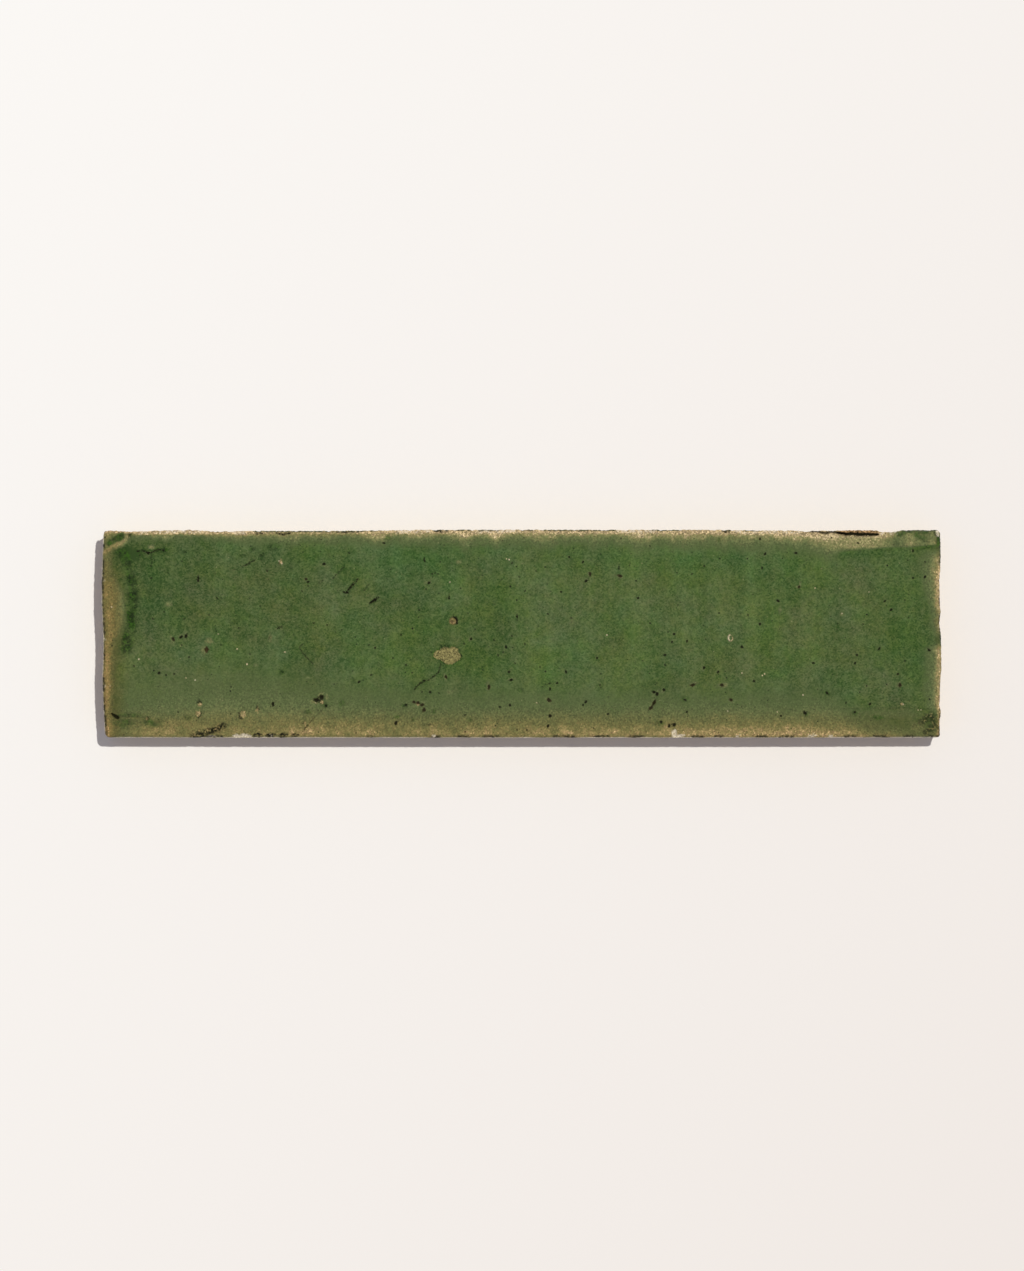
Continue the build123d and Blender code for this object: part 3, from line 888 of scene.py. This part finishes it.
def facePoints():
    # Fine points round the marks, then a close lattice near the edges and an open one over the rest
    rim = face["rims"][-1]
    fine = np.array(thinned(finePoints(), face["leastStep"]))
    fine = fine[insideBy(*fine.T) > rim + face["fineMargin"]]
    close = lattice(face["edgeStep"])
    inside = insideBy(*close.T)
    close = close[(inside > rim + face["margin"]) & (inside <= face["edgeZone"])]
    wide = lattice(face["step"])
    wide = wide[insideBy(*wide.T) > face["edgeZone"] + face["margin"]]

    def cellOf(point):
        return int(point[0] // face["cell"]), int(point[1] // face["cell"])

    taken = {cellOf(point) for point in fine}
    free = [tuple(point) for point in np.vstack([close, wide]) if cellOf(point) not in taken]
    return list(map(tuple, fine)) + free


# The rest of the tile: soft arris, bare leaning sides and the flat back that it lies on
body = {
    "arris": 0.8,
    "arrisSteps": 7,
    "undercut": 1.1,
    "backRound": 0.4,
    "backSteps": 3,
    "backInset": 1.2,  # where the flat back starts, inside the undercut
    "backStep": 2.8,
    "backRough": 0.1,
    "backWaves": 0.16,
    "backMargin": 2.4,
    "sideHeights": [1.2, 3.0, 4.8, 6.5, 7.9, 9.0],
    "sideRough": 0.16,
    "sideDrawn": 0.6,  # how far the sides' roughness is drawn out in height
    "crumble": {"front": 0.05, "right": 0.1, "back": 0.2, "left": 0.09},  # roughness of each cut edge, in mm
    "crumbleHeights": (4, 9),  # between which it sets in
    "crumbleOut": 0.02,  # how far a crumb may stand out
    "runs": {"waves": 0.16, "soft": 1.2, "longest": 3.2, "cover": 0.75},  # glaze that ran down the sides
}
sideReach = thickness - face["crownDrop"] - body["arris"]  # height at which the arris starts

# Where the parts of the tile lie on its colour map, which is one unit wide: the face in two halves, the back
# and the four sides
colourMap = {
    "faceScale": 1 / 125,
    "faceHalves": [(0.81, 0.205), (0.005, 0.61)],  # the face's middle, for the left and the right half
    "backScale": 1 / 280,
    "backMiddle": (0.91, 0.37),
    "sideScale": 1 / 206,
    "sideStarts": [(0.01, 0.82), (0.01, 0.94), (0.01, 0.88), (0.28, 0.94)],  # front, right, back and left
}


def joinInterior(rim, loose, first, start):
    # Fills a ring with triangles over loose points. The ring's points keep their numbers, and new ones follow
    count = len(rim)
    edges = [(i, (i + 1) % count) for i in range(count)]
    places = [Vector(p) for p in rim] + [Vector(p) for p in loose]
    found, _, triangles, origins, _, _ = delaunay_2d_cdt(places, edges, [], 1, 1e-6)
    number = []
    extra = []
    for spot, origin in zip(found, origins):
        if origin and origin[0] < count:
            number.append(first + origin[0])
        else:
            number.append(start + len(extra))
            extra.append((spot.x, spot.y, 0.0))
    return np.array(extra), [tuple(number[i] for i in t) for t in triangles]


def layOutColours(mesh, rings, count, sideRings, points):
    # Each corner's place on the colour map, by the part of the tile that its face belongs to
    outer = rings[sideRings]
    steps = np.linalg.norm(np.roll(outer, -1, axis=0) - outer, axis=1)
    run = np.concatenate([[0], np.cumsum(steps)])
    ends = np.cumsum(np.array(sideCounts()) + outline["cornerSteps"]) - outline["cornerSteps"] // 2
    starts = np.roll(ends, 1)
    starts[0] -= count
    startRuns = [run[start] if start >= 0 else run[start + count] - run[count] for start in starts]
    layer = mesh.uv_layers.new(name="OFBake")
    places = np.zeros((len(mesh.loops), 2))
    for polygon in mesh.polygons:
        corners = [mesh.loops[i].vertex_index for i in polygon.loop_indices]
        if polygon.index < (len(rings) - 1) * count:
            r, i = divmod(polygon.index, count)
        else:
            r, i = (0, 0) if polygon.normal.z < 0 else (sideRings, 0)
        if r >= sideRings:
            right = polygon.center.x > 0
            middle = np.array(colourMap["faceHalves"][right])
            for loop, c in zip(polygon.loop_indices, corners):
                places[loop] = middle + points[c, :2] * colourMap["faceScale"]
        elif r == 0:
            middle = np.array(colourMap["backMiddle"])
            for loop, c in zip(polygon.loop_indices, corners):
                places[loop] = middle + points[c, 1::-1] * colourMap["backScale"]
        else:
            side = int(np.searchsorted(ends, i, side="right")) % 4
            base = np.array(colourMap["sideStarts"][side])
            for loop, c in zip(polygon.loop_indices, corners):
                j = c % count
                j = j if j or not i else count
                along = run[j] - startRuns[side]
                if side == 0 and along > run[count] / 2:
                    along -= run[count]
                places[loop] = base + np.array([along, points[c, 2]]) * colourMap["sideScale"]
    layer.uv.foreach_set("vector", places.astype(np.float32).ravel())
    print(f"colour map: {places.min():.3f} to {places.max():.3f}")


def tileRings():
    # Rings of points from the back over the sides and the arris to the face, and how many lie below the arris
    outer = edgeRing(0.0)
    outward = outer - edgeRing(0.4)
    outward /= np.linalg.norm(outward, axis=1)[:, None]
    count = len(outer)
    distances = edgeDistances(*outer.T)
    nearest = np.argmin([inside for inside, place in distances.values()], axis=0)
    crumble = np.array([body["crumble"][name] for name in distances])[nearest]
    rough = crumble * (noiseAt(*outer.T, 0.9, 61.0) - 0.35 + 0.9 * noiseAt(*outer.T, 2.2, 62.0))
    rough = np.minimum(rough, body["crumbleOut"])
    rings = []

    def addRing(inset, height, crumbled=0.0, roughRow=None):
        ring = edgeRing(inset)
        if roughRow is not None:
            swell = noiseAt(ring[:, 0] + ring[:, 1], np.full(count, roughRow), 0.35, 63.0) - 0.4
            ring = ring + outward * (body["sideRough"] * swell)[:, None]
        ring = ring + outward * (rough * crumbled)[:, None]
        rings.append(np.column_stack([ring, np.full(count, height)]))

    addRing(body["undercut"] + body["backInset"], 0.0)
    for k in range(body["backSteps"] + 1):
        angle = k / body["backSteps"] * math.pi / 2
        inset = body["undercut"] + body["backRound"] * (1 - math.sin(angle))
        addRing(inset, body["backRound"] * (1 - math.cos(angle)))
    for height in body["sideHeights"]:
        inset = body["undercut"] * (1 - height / sideReach)
        addRing(inset, height, ease(height, *body["crumbleHeights"]), height * body["sideDrawn"])
    sideRings = len(rings)
    for k in range(body["arrisSteps"] + 1):
        angle = k / body["arrisSteps"] * math.pi / 2
        addRing(body["arris"] * (1 - math.cos(angle)), 0.0, math.cos(angle))
        ring = rings[-1]
        ring[:, 2] = faceHeight(ring[:, 0], ring[:, 1]) - body["arris"] * (1 - math.sin(angle))
    for inset in face["rims"]:
        addRing(inset, 0.0)
        rings[-1][:, 2] = faceHeight(rings[-1][:, 0], rings[-1][:, 1])
    return rings, sideRings


def glazeValues(points, top, sides):
    # Forms the marks in the face, and gives each point its values for the glaze
    x = points[top, 0]
    y = points[top, 1]
    rise, looks = relief(x, y)
    cover = glazeCover(x, y)
    fade = ease(insideBy(x, y), -0.05, 0.6)
    points[top, 2] += np.where(rise > 0, rise * fade, rise)
    values = {}
    nowhere = -9.0
    for name in sorted({*looks, *cover}):
        values[name] = np.full(len(points), 1.0 if name == "thin" else 0.0)
        values[name][top] = np.maximum(looks.get(name, nowhere), cover.get(name, nowhere))

    # A little glaze has run over the arris and down the sides
    x, y, z = points[sides].T
    runs = body["runs"]
    length = runs["longest"] * np.clip(noiseAt(x + y, x - y, runs["waves"], 81.0), 0, 1)
    lowest = sideReach - runs["soft"] - length
    values["thin"][sides] = 1 - runs["cover"] * ease(z, lowest, lowest + runs["soft"])
    values["side"] = np.where(top, 0.0, 1.0)
    values["side"][sides] = ease(values["thin"][sides], 0.6, 1.0)
    return values


def buildTile():
    # One list of points: the rings from the back to the face, then the insides of the face and of the back
    rings, sideRings = tileRings()
    count = len(rings[0])
    ringTotal = len(rings) * count
    inner, faceTriangles = joinInterior(rings[-1][:, :2], facePoints(), ringTotal - count, ringTotal)
    inner[:, 2] = faceHeight(inner[:, 0], inner[:, 1])
    faceEnd = ringTotal + len(inner)
    loose = lattice(body["backStep"])
    loose = loose[insideBy(*loose.T) > body["undercut"] + body["backMargin"]]
    under, backTriangles = joinInterior(rings[0][:, :2], loose, 0, faceEnd)
    hollows = noiseAt(under[:, 0], under[:, 1], body["backWaves"], 71.0)
    under[:, 2] = body["backRough"] * np.clip(hollows, 0, 1)
    points = np.vstack([*rings, inner, under])

    polygons = []
    for r in range(len(rings) - 1):
        for i in range(count):
            j = (i + 1) % count
            polygons.append((r * count + i, r * count + j, (r + 1) * count + j, (r + 1) * count + i))
    polygons += faceTriangles
    polygons += [tuple(reversed(t)) for t in backTriangles]

    top = np.zeros(len(points), bool)
    top[sideRings * count:faceEnd] = True
    sides = slice((body["backSteps"] + 2) * count, sideRings * count)
    values = glazeValues(points, top, sides)

    mesh = bpy.data.meshes.new("glazedTile")
    mesh.from_pydata((points * mm).tolist(), [], polygons)
    mesh.update()
    mesh.shade_smooth()
    for name, amounts in values.items():
        layer = mesh.attributes.new(name, "FLOAT", "POINT")
        layer.data.foreach_set("value", amounts.astype(np.float32))
    layOutColours(mesh, rings, count, sideRings, points)
    tile = bpy.data.objects.new("glazedTile", mesh)
    bpy.context.scene.collection.objects.link(tile)
    triangles = sum(len(p.vertices) - 2 for p in mesh.polygons)
    print(f"tile: {len(points)} points, {triangles} triangles")
    return tile


# Colours as they show in the photo, in sRGB steps
glazeLook = {
    "dark": (46, 71, 25),
    "light": (106, 120, 70),
    "middle": 0.4,  # where the usual glaze stands between dark and light
    "patterns": {"clouds": 1.0, "mottles": 0.58, "streaks": 0.7, "grains": 0.5},  # how much each one sways it
    "deep": (22, 37, 4),
    "vivid": (54, 89, 16),
    "thinRamp": [(0.2, (86, 98, 56)), (0.35, (96, 105, 63)), (0.5, (107, 113, 69)), (0.65, (120, 121, 76)),
                 (0.8, (143, 137, 92)), (0.9, (164, 150, 107)), (1.0, (190, 171, 132))],
    "ochre": (1.0, 0.77, 0.63),  # what the brown edges let through of each colour
    "clay": (126, 118, 74),
    "side": (176, 158, 128),
    "rust": (70, 56, 27),
    # Pale clay of chips and grains, also the painted highlight along the front and left edges
    "pale": (238, 224, 199),
    "speck": (25, 30, 11),
    "fleck": (150, 148, 102),
    # Near-black of pores, grooves, gaps and crumbs: dirt, with painted shade in the hollows
    "pore": (24, 24, 10),
    "roughness": 0.22,
    "clayRoughness": 0.9,
    "grainSize": (3.0, 5.0),  # how many fine grains there are in a mm, and their seed
    "noises": {  # waves per mm, levels of detail, roughness and seed
        "clouds": (0.06, 7, 0.8, 3.0),
        "mottles": (0.7, 2, 0.9, 19.0),
        "streaks": (0.22, 3, 0.6, 17.0),
        "hue": (0.09, 7, 0.75, 8.0),
        "dust": (0.1, 7, 0.75, 27.0),
        "grit": (1.6, 2, 0.9, 23.0),
        "crumbs": (2.0, 2, 0.9, 29.0),
        "peel": (0.9, 3, 0.6, 37.0),
    },
    "dots": {  # grains per mm, seed, largest size and the share of the grains that have a dot
        "specks": (0.6, 11.0, 0.17, 0.65),
        "fineSpecks": (1.1, 23.0, 0.24, 0.45),
        "flecks": (0.7, 37.0, 0.15, 0.4),
        "pepper": (1.7, 41.0, 0.2, 0.5),
    },
}
# What the glaze lets through of each colour as it drifts
hues = {
    "olive": (1.22, 0.95, 1.05, 1.0),
    "green": (0.80, 1.07, 0.88, 1.0),
    "clear": (0.95, 1.0, 0.72, 1.0),
    "dusty": (1.07, 1.01, 1.33, 1.0),
}


def linear(colour):
    def channel(c):
        c = c / 255
        return c / 12.92 if c <= 0.04045 else ((c + 0.055) / 1.055) ** 2.4
    return (*[channel(c) for c in colour], 1.0)


class NodeSheet:
    # A material's nodes, added one after another
    def __init__(self, name):
        self.material = bpy.data.materials.new(name)
        self.material.use_nodes = True
        self.tree = self.material.node_tree
        self.tree.nodes.clear()

    def add(self, kind, inputs=None, **settings):
        node = self.tree.nodes.new(kind)
        for key, value in settings.items():
            setattr(node, key, value)
        for key, value in (inputs or {}).items():
            if isinstance(value, bpy.types.NodeSocket):
                self.tree.links.new(value, node.inputs[key])
            else:
                node.inputs[key].default_value = value
        return node

    def math(self, operation, a, b=0.0, c=0.0, clamp=False):
        node = self.add("ShaderNodeMath", {0: a, 1: b, 2: c}, operation=operation, use_clamp=clamp)
        return node.outputs[0]

    def mix(self, amount, a, b, blend="MIX"):
        node = self.add("ShaderNodeMix", {0: amount, 6: a, 7: b}, data_type="RGBA", blend_type=blend)
        return node.outputs[2]

    def tint(self, shade, colour):
        return self.mix(1.0, shade, colour, "MULTIPLY")

    def noise(self, vector, scale, detail, roughness, seed):
        node = self.add("ShaderNodeTexNoise", {"Vector": vector, "W": seed, "Scale": scale, "Detail": detail,
                                               "Roughness": roughness}, noise_dimensions="4D")
        return node.outputs["Fac"]

    def stretch(self, value, low, high, start=0.0, end=1.0):
        node = self.add("ShaderNodeMapRange", {0: value, 1: low, 2: high, 3: start, 4: end})
        return node.outputs[0]

    def grains(self, vector, scale, seed):
        # How far each point is from the middle of its grain, then three chance values that each grain has
        moved = self.add("ShaderNodeVectorMath", {0: vector, 1: (seed, 2 * seed, 3 * seed)}, operation="ADD")
        node = self.add("ShaderNodeTexVoronoi", {"Vector": moved.outputs[0], "Scale": scale})
        chances = self.add("ShaderNodeSeparateColor", {0: node.outputs["Color"]})
        return node.outputs["Distance"], chances.outputs

    def dots(self, vector, scale, seed, largest, share):
        # Round dots of many sizes in some of the grains, each with a strength of its own
        away, chances = self.grains(vector, scale, seed)
        size = self.stretch(chances[0], 1 - share, 1.0, 0.0, largest)
        dot = self.stretch(self.math("SUBTRACT", size, away), 0.0, largest * 0.3)
        return self.math("MULTIPLY", dot, self.stretch(chances[1], 0.0, 1.0, 0.4, 1.0))

    def attribute(self, name):
        return self.add("ShaderNodeAttribute", attribute_name=name).outputs["Fac"]

    def finish(self, inputs):
        shader = self.add("ShaderNodeBsdfPrincipled", inputs)
        self.add("ShaderNodeOutputMaterial", {"Surface": shader.outputs[0]})
        return self.material


def fullGlaze(sheet, noises, chances):
    # From dark to light in clouds, mottles, streaks across the width and fine grains
    patterns = {**noises, "grains": chances[0]}
    level = sheet.math("MULTIPLY_ADD", sheet.attribute("light"), 0.16, glazeLook["middle"])
    for name, gain in glazeLook["patterns"].items():
        level = sheet.math("ADD", level, sheet.stretch(patterns[name], 0.0, 1.0, -gain / 2, gain / 2))
    level = sheet.math("MAXIMUM", level, 0.0, clamp=True)
    shade = sheet.mix(level, linear(glazeLook["dark"]), linear(glazeLook["light"]))

    # It drifts between olive and green, and between clear and dusty
    drift = sheet.math("MULTIPLY_ADD", sheet.attribute("hue"), 0.25, sheet.stretch(noises["hue"], 0.26, 0.74))
    drift = sheet.math("ADD", drift, sheet.stretch(chances[1], 0.0, 1.0, -0.05, 0.05), clamp=True)
    shade = sheet.tint(shade, sheet.mix(drift, hues["olive"], hues["green"]))
    dust = sheet.stretch(noises["dust"], 0.36, 0.64)
    dust = sheet.math("ADD", dust, sheet.stretch(chances[2], 0.0, 1.0, -0.03, 0.03), clamp=True)
    return sheet.tint(shade, sheet.mix(dust, hues["clear"], hues["dusty"]))


def thinEdges(sheet, shade, thinness, crumbs):
    # Paler the thinner it is, speckled and crumbling, and browner by the edges
    low = 0.0
    for high, tone in glazeLook["thinRamp"]:
        shade = sheet.mix(sheet.stretch(thinness, low, high), shade, linear(tone))
        low = high
    speckled = sheet.tint(shade, sheet.stretch(crumbs, 0.4, 1.6, 0.68, 1.32))
    shade = sheet.mix(sheet.stretch(thinness, 0.03, 0.25), shade, speckled)
    crumbled = sheet.tint(shade, sheet.stretch(crumbs, 0.4, 1.6, 0.6, 1.4))
    shade = sheet.mix(sheet.stretch(thinness, 0.8, 0.95), shade, crumbled)
    browned = sheet.tint(shade, (*glazeLook["ochre"], 1.0))
    return sheet.mix(sheet.attribute("ochre"), shade, browned)


def specksAndFlecks(sheet, shade, vector, thinness):
    # Dark specks and pale flecks all over, and pepper in the thin glaze
    dots = {name: sheet.dots(vector, *values) for name, values in glazeLook["dots"].items()}
    specks = sheet.math("MAXIMUM", dots["specks"], sheet.math("MULTIPLY", dots["fineSpecks"], 0.7))
    shade = sheet.mix(specks, shade, linear(glazeLook["speck"]))
    shade = sheet.mix(sheet.math("MULTIPLY", dots["flecks"], 0.5), shade, linear(glazeLook["fleck"]))
    pepper = sheet.math("MULTIPLY", dots["pepper"], sheet.stretch(thinness, 0.1, 0.5, 0.0, 0.6))
    return sheet.mix(pepper, shade, linear(glazeLook["speck"]))


def clayAndMarks(sheet, shade, curdled, crumbs):
    # The clay of the sides and the back, then pools, bare places, rust, pale grains with the painted pale
    # highlight of the edges, and dark pores with their dirt and painted shade
    clay = sheet.tint(linear(glazeLook["side"]), sheet.stretch(crumbs, 0.4, 1.6, 0.8, 1.2))
    shade = sheet.mix(sheet.attribute("side"), shade, clay)
    curds = sheet.stretch(curdled, 0.5, 0.82)
    pooled = sheet.mix(curds, linear(glazeLook["deep"]), linear(glazeLook["vivid"]))
    shade = sheet.mix(sheet.attribute("deep"), shade, pooled)
    clay = sheet.tint(linear(glazeLook["clay"]), sheet.stretch(crumbs, 0.4, 1.6, 0.35, 1.8))
    shade = sheet.mix(sheet.attribute("bare"), shade, clay)
    shade = sheet.mix(sheet.attribute("rust"), shade, linear(glazeLook["rust"]))
    # Pale clay, and the painted pale highlight along the front and left edges
    grainy = sheet.stretch(crumbs, 0.4, 1.4, 0.5, 1.15)
    paleness = sheet.math("MULTIPLY", sheet.attribute("pale"), grainy, clamp=True)
    shade = sheet.mix(paleness, shade, linear(glazeLook["pale"]))
    # Near-black where the marks are hollow: dirt, with painted shade in them
    return sheet.mix(sheet.attribute("pore"), shade, linear(glazeLook["pore"]))


def glazeMaterial():
    sheet = NodeSheet("mottledGreenGlaze")
    where = sheet.add("ShaderNodeTexCoord").outputs["Object"]
    inMm = sheet.add("ShaderNodeMapping", {"Vector": where, "Scale": (1000, 1000, 1000)}).outputs[0]
    drawnOut = sheet.add("ShaderNodeMapping", {"Vector": where, "Scale": (1000, 70, 1000)}).outputs[0]
    noises = {}
    for name, values in glazeLook["noises"].items():
        noises[name] = sheet.noise(drawnOut if name == "streaks" else inMm, *values)
    chances = sheet.grains(inMm, *glazeLook["grainSize"])[1]
    crumbs = sheet.math("ADD", noises["crumbs"], chances[2])

    # Thin glaze at the edges lets the clay through, grain by grain
    thin = sheet.attribute("thin")
    grit = sheet.math("MULTIPLY", sheet.math("ADD", noises["grit"], chances[1]), 0.45)
    swing = sheet.stretch(thin, 0.02, 0.35, 0.0, 0.5)
    sway = sheet.math("MULTIPLY", sheet.math("SUBTRACT", grit, 0.45), swing)
    thinness = sheet.math("ADD", thin, sway, clamp=True)
    shade = fullGlaze(sheet, noises, chances)
    shade = thinEdges(sheet, shade, thinness, crumbs)
    shade = specksAndFlecks(sheet, shade, inMm, thinness)
    curdled = sheet.math("ADD", noises["mottles"], sheet.math("MULTIPLY", chances[0], 0.25))
    shade = clayAndMarks(sheet, shade, curdled, crumbs)

    # Glossy where the glaze is full, dull where the clay shows
    bareEdge = sheet.stretch(thinness, 0.15, 0.75)
    laidOpen = sheet.math("MAXIMUM", sheet.attribute("bare"), sheet.attribute("pore"))
    dull = sheet.math("MAXIMUM", bareEdge, laidOpen)
    roughness = sheet.stretch(dull, 0.0, 1.0, glazeLook["roughness"], glazeLook["clayRoughness"])
    peel = sheet.math("MULTIPLY", noises["peel"], 0.05)
    bumps = sheet.math("ADD", peel, sheet.math("MULTIPLY", crumbs, 0.03))
    bumps = sheet.math("ADD", bumps, sheet.math("MULTIPLY", sheet.math("MULTIPLY", crumbs, bareEdge), 0.16))
    bump = sheet.add("ShaderNodeBump", {"Height": bumps, "Distance": mm, "Strength": 0.3})
    return sheet.finish({"Base Color": shade, "Roughness": roughness, "Normal": bump.outputs[0],
                         "Specular IOR Level": 0.35})


# Floor and light: a cream sheet with a painted fall-off of light, lighter to the back left and darker to the
# front right, a sun from the back right and an even fill
studio = {
    "floorColour": (246, 241, 236),
    # Painted fall-off of light: the floor's colour is lighter to the back left and darker to the front right
    "floorPaintedLighter": (251, 248, 244),
    "floorPaintedDarker": (240, 233, 227),
    "floorHalf": 5.0,
    "floorLean": 0.9,  # how far the floor's change of tone runs towards the back as well as to the left
    "floorFade": 0.26,  # over what length the floor grows lighter or darker from the middle
    "floorSunk": 0.00002,  # keeps the floor out of the plane of the tile's back
    "sunTowards": (0.671, 0.7415),
    "sunElevation": 72.57,
    "sunShare": 0.68,
    "sunColour": (1.026, 1.028, 0.975),
    "sunAngle": 1.2,
    "fill": (0.945, 0.94, 1.07),
    "fillShare": 0.32,
}


def addFloor():
    half = studio["floorHalf"]
    mesh = bpy.data.meshes.new("creamFloor")
    corners = [(-half, -half, 0), (half, -half, 0), (half, half, 0), (-half, half, 0)]
    mesh.from_pydata(corners, [], [(0, 1, 2, 3)])
    floor = bpy.data.objects.new("creamFloor", mesh)
    floor.location.z = -studio["floorSunk"]
    bpy.context.scene.collection.objects.link(floor)
    sheet = NodeSheet("creamPaper")
    where = sheet.add("ShaderNodeTexCoord").outputs["Object"]
    across = sheet.add("ShaderNodeSeparateXYZ", {0: where}).outputs
    # Painted fall-off of light: lighter to the back left, darker to the front right
    lean = sheet.math("SUBTRACT", sheet.math("MULTIPLY", across[1], studio["floorLean"]), across[0])
    near, middle, far = [linear(studio[name]) for name in ("floorPaintedDarker", "floorColour", "floorPaintedLighter")]
    shade = sheet.mix(sheet.stretch(lean, -studio["floorFade"], 0.0), near, middle)
    shade = sheet.mix(sheet.stretch(lean, 0.0, studio["floorFade"]), shade, far)
    mesh.materials.append(sheet.finish({"Base Color": shade, "Roughness": 0.95, "Specular IOR Level": 0.0}))


def addLight():
    elevation = math.radians(studio["sunElevation"])
    towards = Vector(studio["sunTowards"]).normalized() * math.cos(elevation)
    lamp = bpy.data.lights.new("sun", "SUN")
    lamp.color = studio["sunColour"]
    lamp.energy = math.pi * studio["sunShare"] / math.sin(elevation)
    lamp.angle = math.radians(studio["sunAngle"])
    sun = bpy.data.objects.new("sun", lamp)
    upwards = Vector((towards.x, towards.y, math.sin(elevation)))
    sun.rotation_euler = upwards.to_track_quat("Z", "Y").to_euler()
    sun.visible_glossy = False  # the photo shows no glint on the glaze
    bpy.context.scene.collection.objects.link(sun)

    world = bpy.data.worlds.new("studio")
    world.use_nodes = True
    background = world.node_tree.nodes["Background"]
    background.inputs["Color"].default_value = (*studio["fill"], 1.0)
    background.inputs["Strength"].default_value = studio["fillShare"]
    bpy.context.scene.world = world


def addCamera():
    # A long lens, because the photo shows the sides of the tile nowhere
    view = {"lens": 600.0, "sensor": 36.0}
    lens = bpy.data.cameras.new("overhead")
    lens.lens = view["lens"]
    lens.sensor_width = view["sensor"]
    camera = bpy.data.objects.new("overhead", lens)
    x, y = toFace(*photo["centre"])
    above = photo["height"] * mmPerPixel * view["lens"] / view["sensor"]
    camera.location = (x * mm, y * mm, (thickness + above) * mm)
    bpy.context.scene.collection.objects.link(camera)
    bpy.context.scene.camera = camera


tile = buildTile()
tile.data.materials.append(glazeMaterial())
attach(tile, "root")
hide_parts("glazed_tile")
print("tile: glazed and placed")

addFloor()
addLight()
addCamera()
bpy.context.scene.view_settings.view_transform = "Standard"
print("studio: floor, sun and overhead camera")
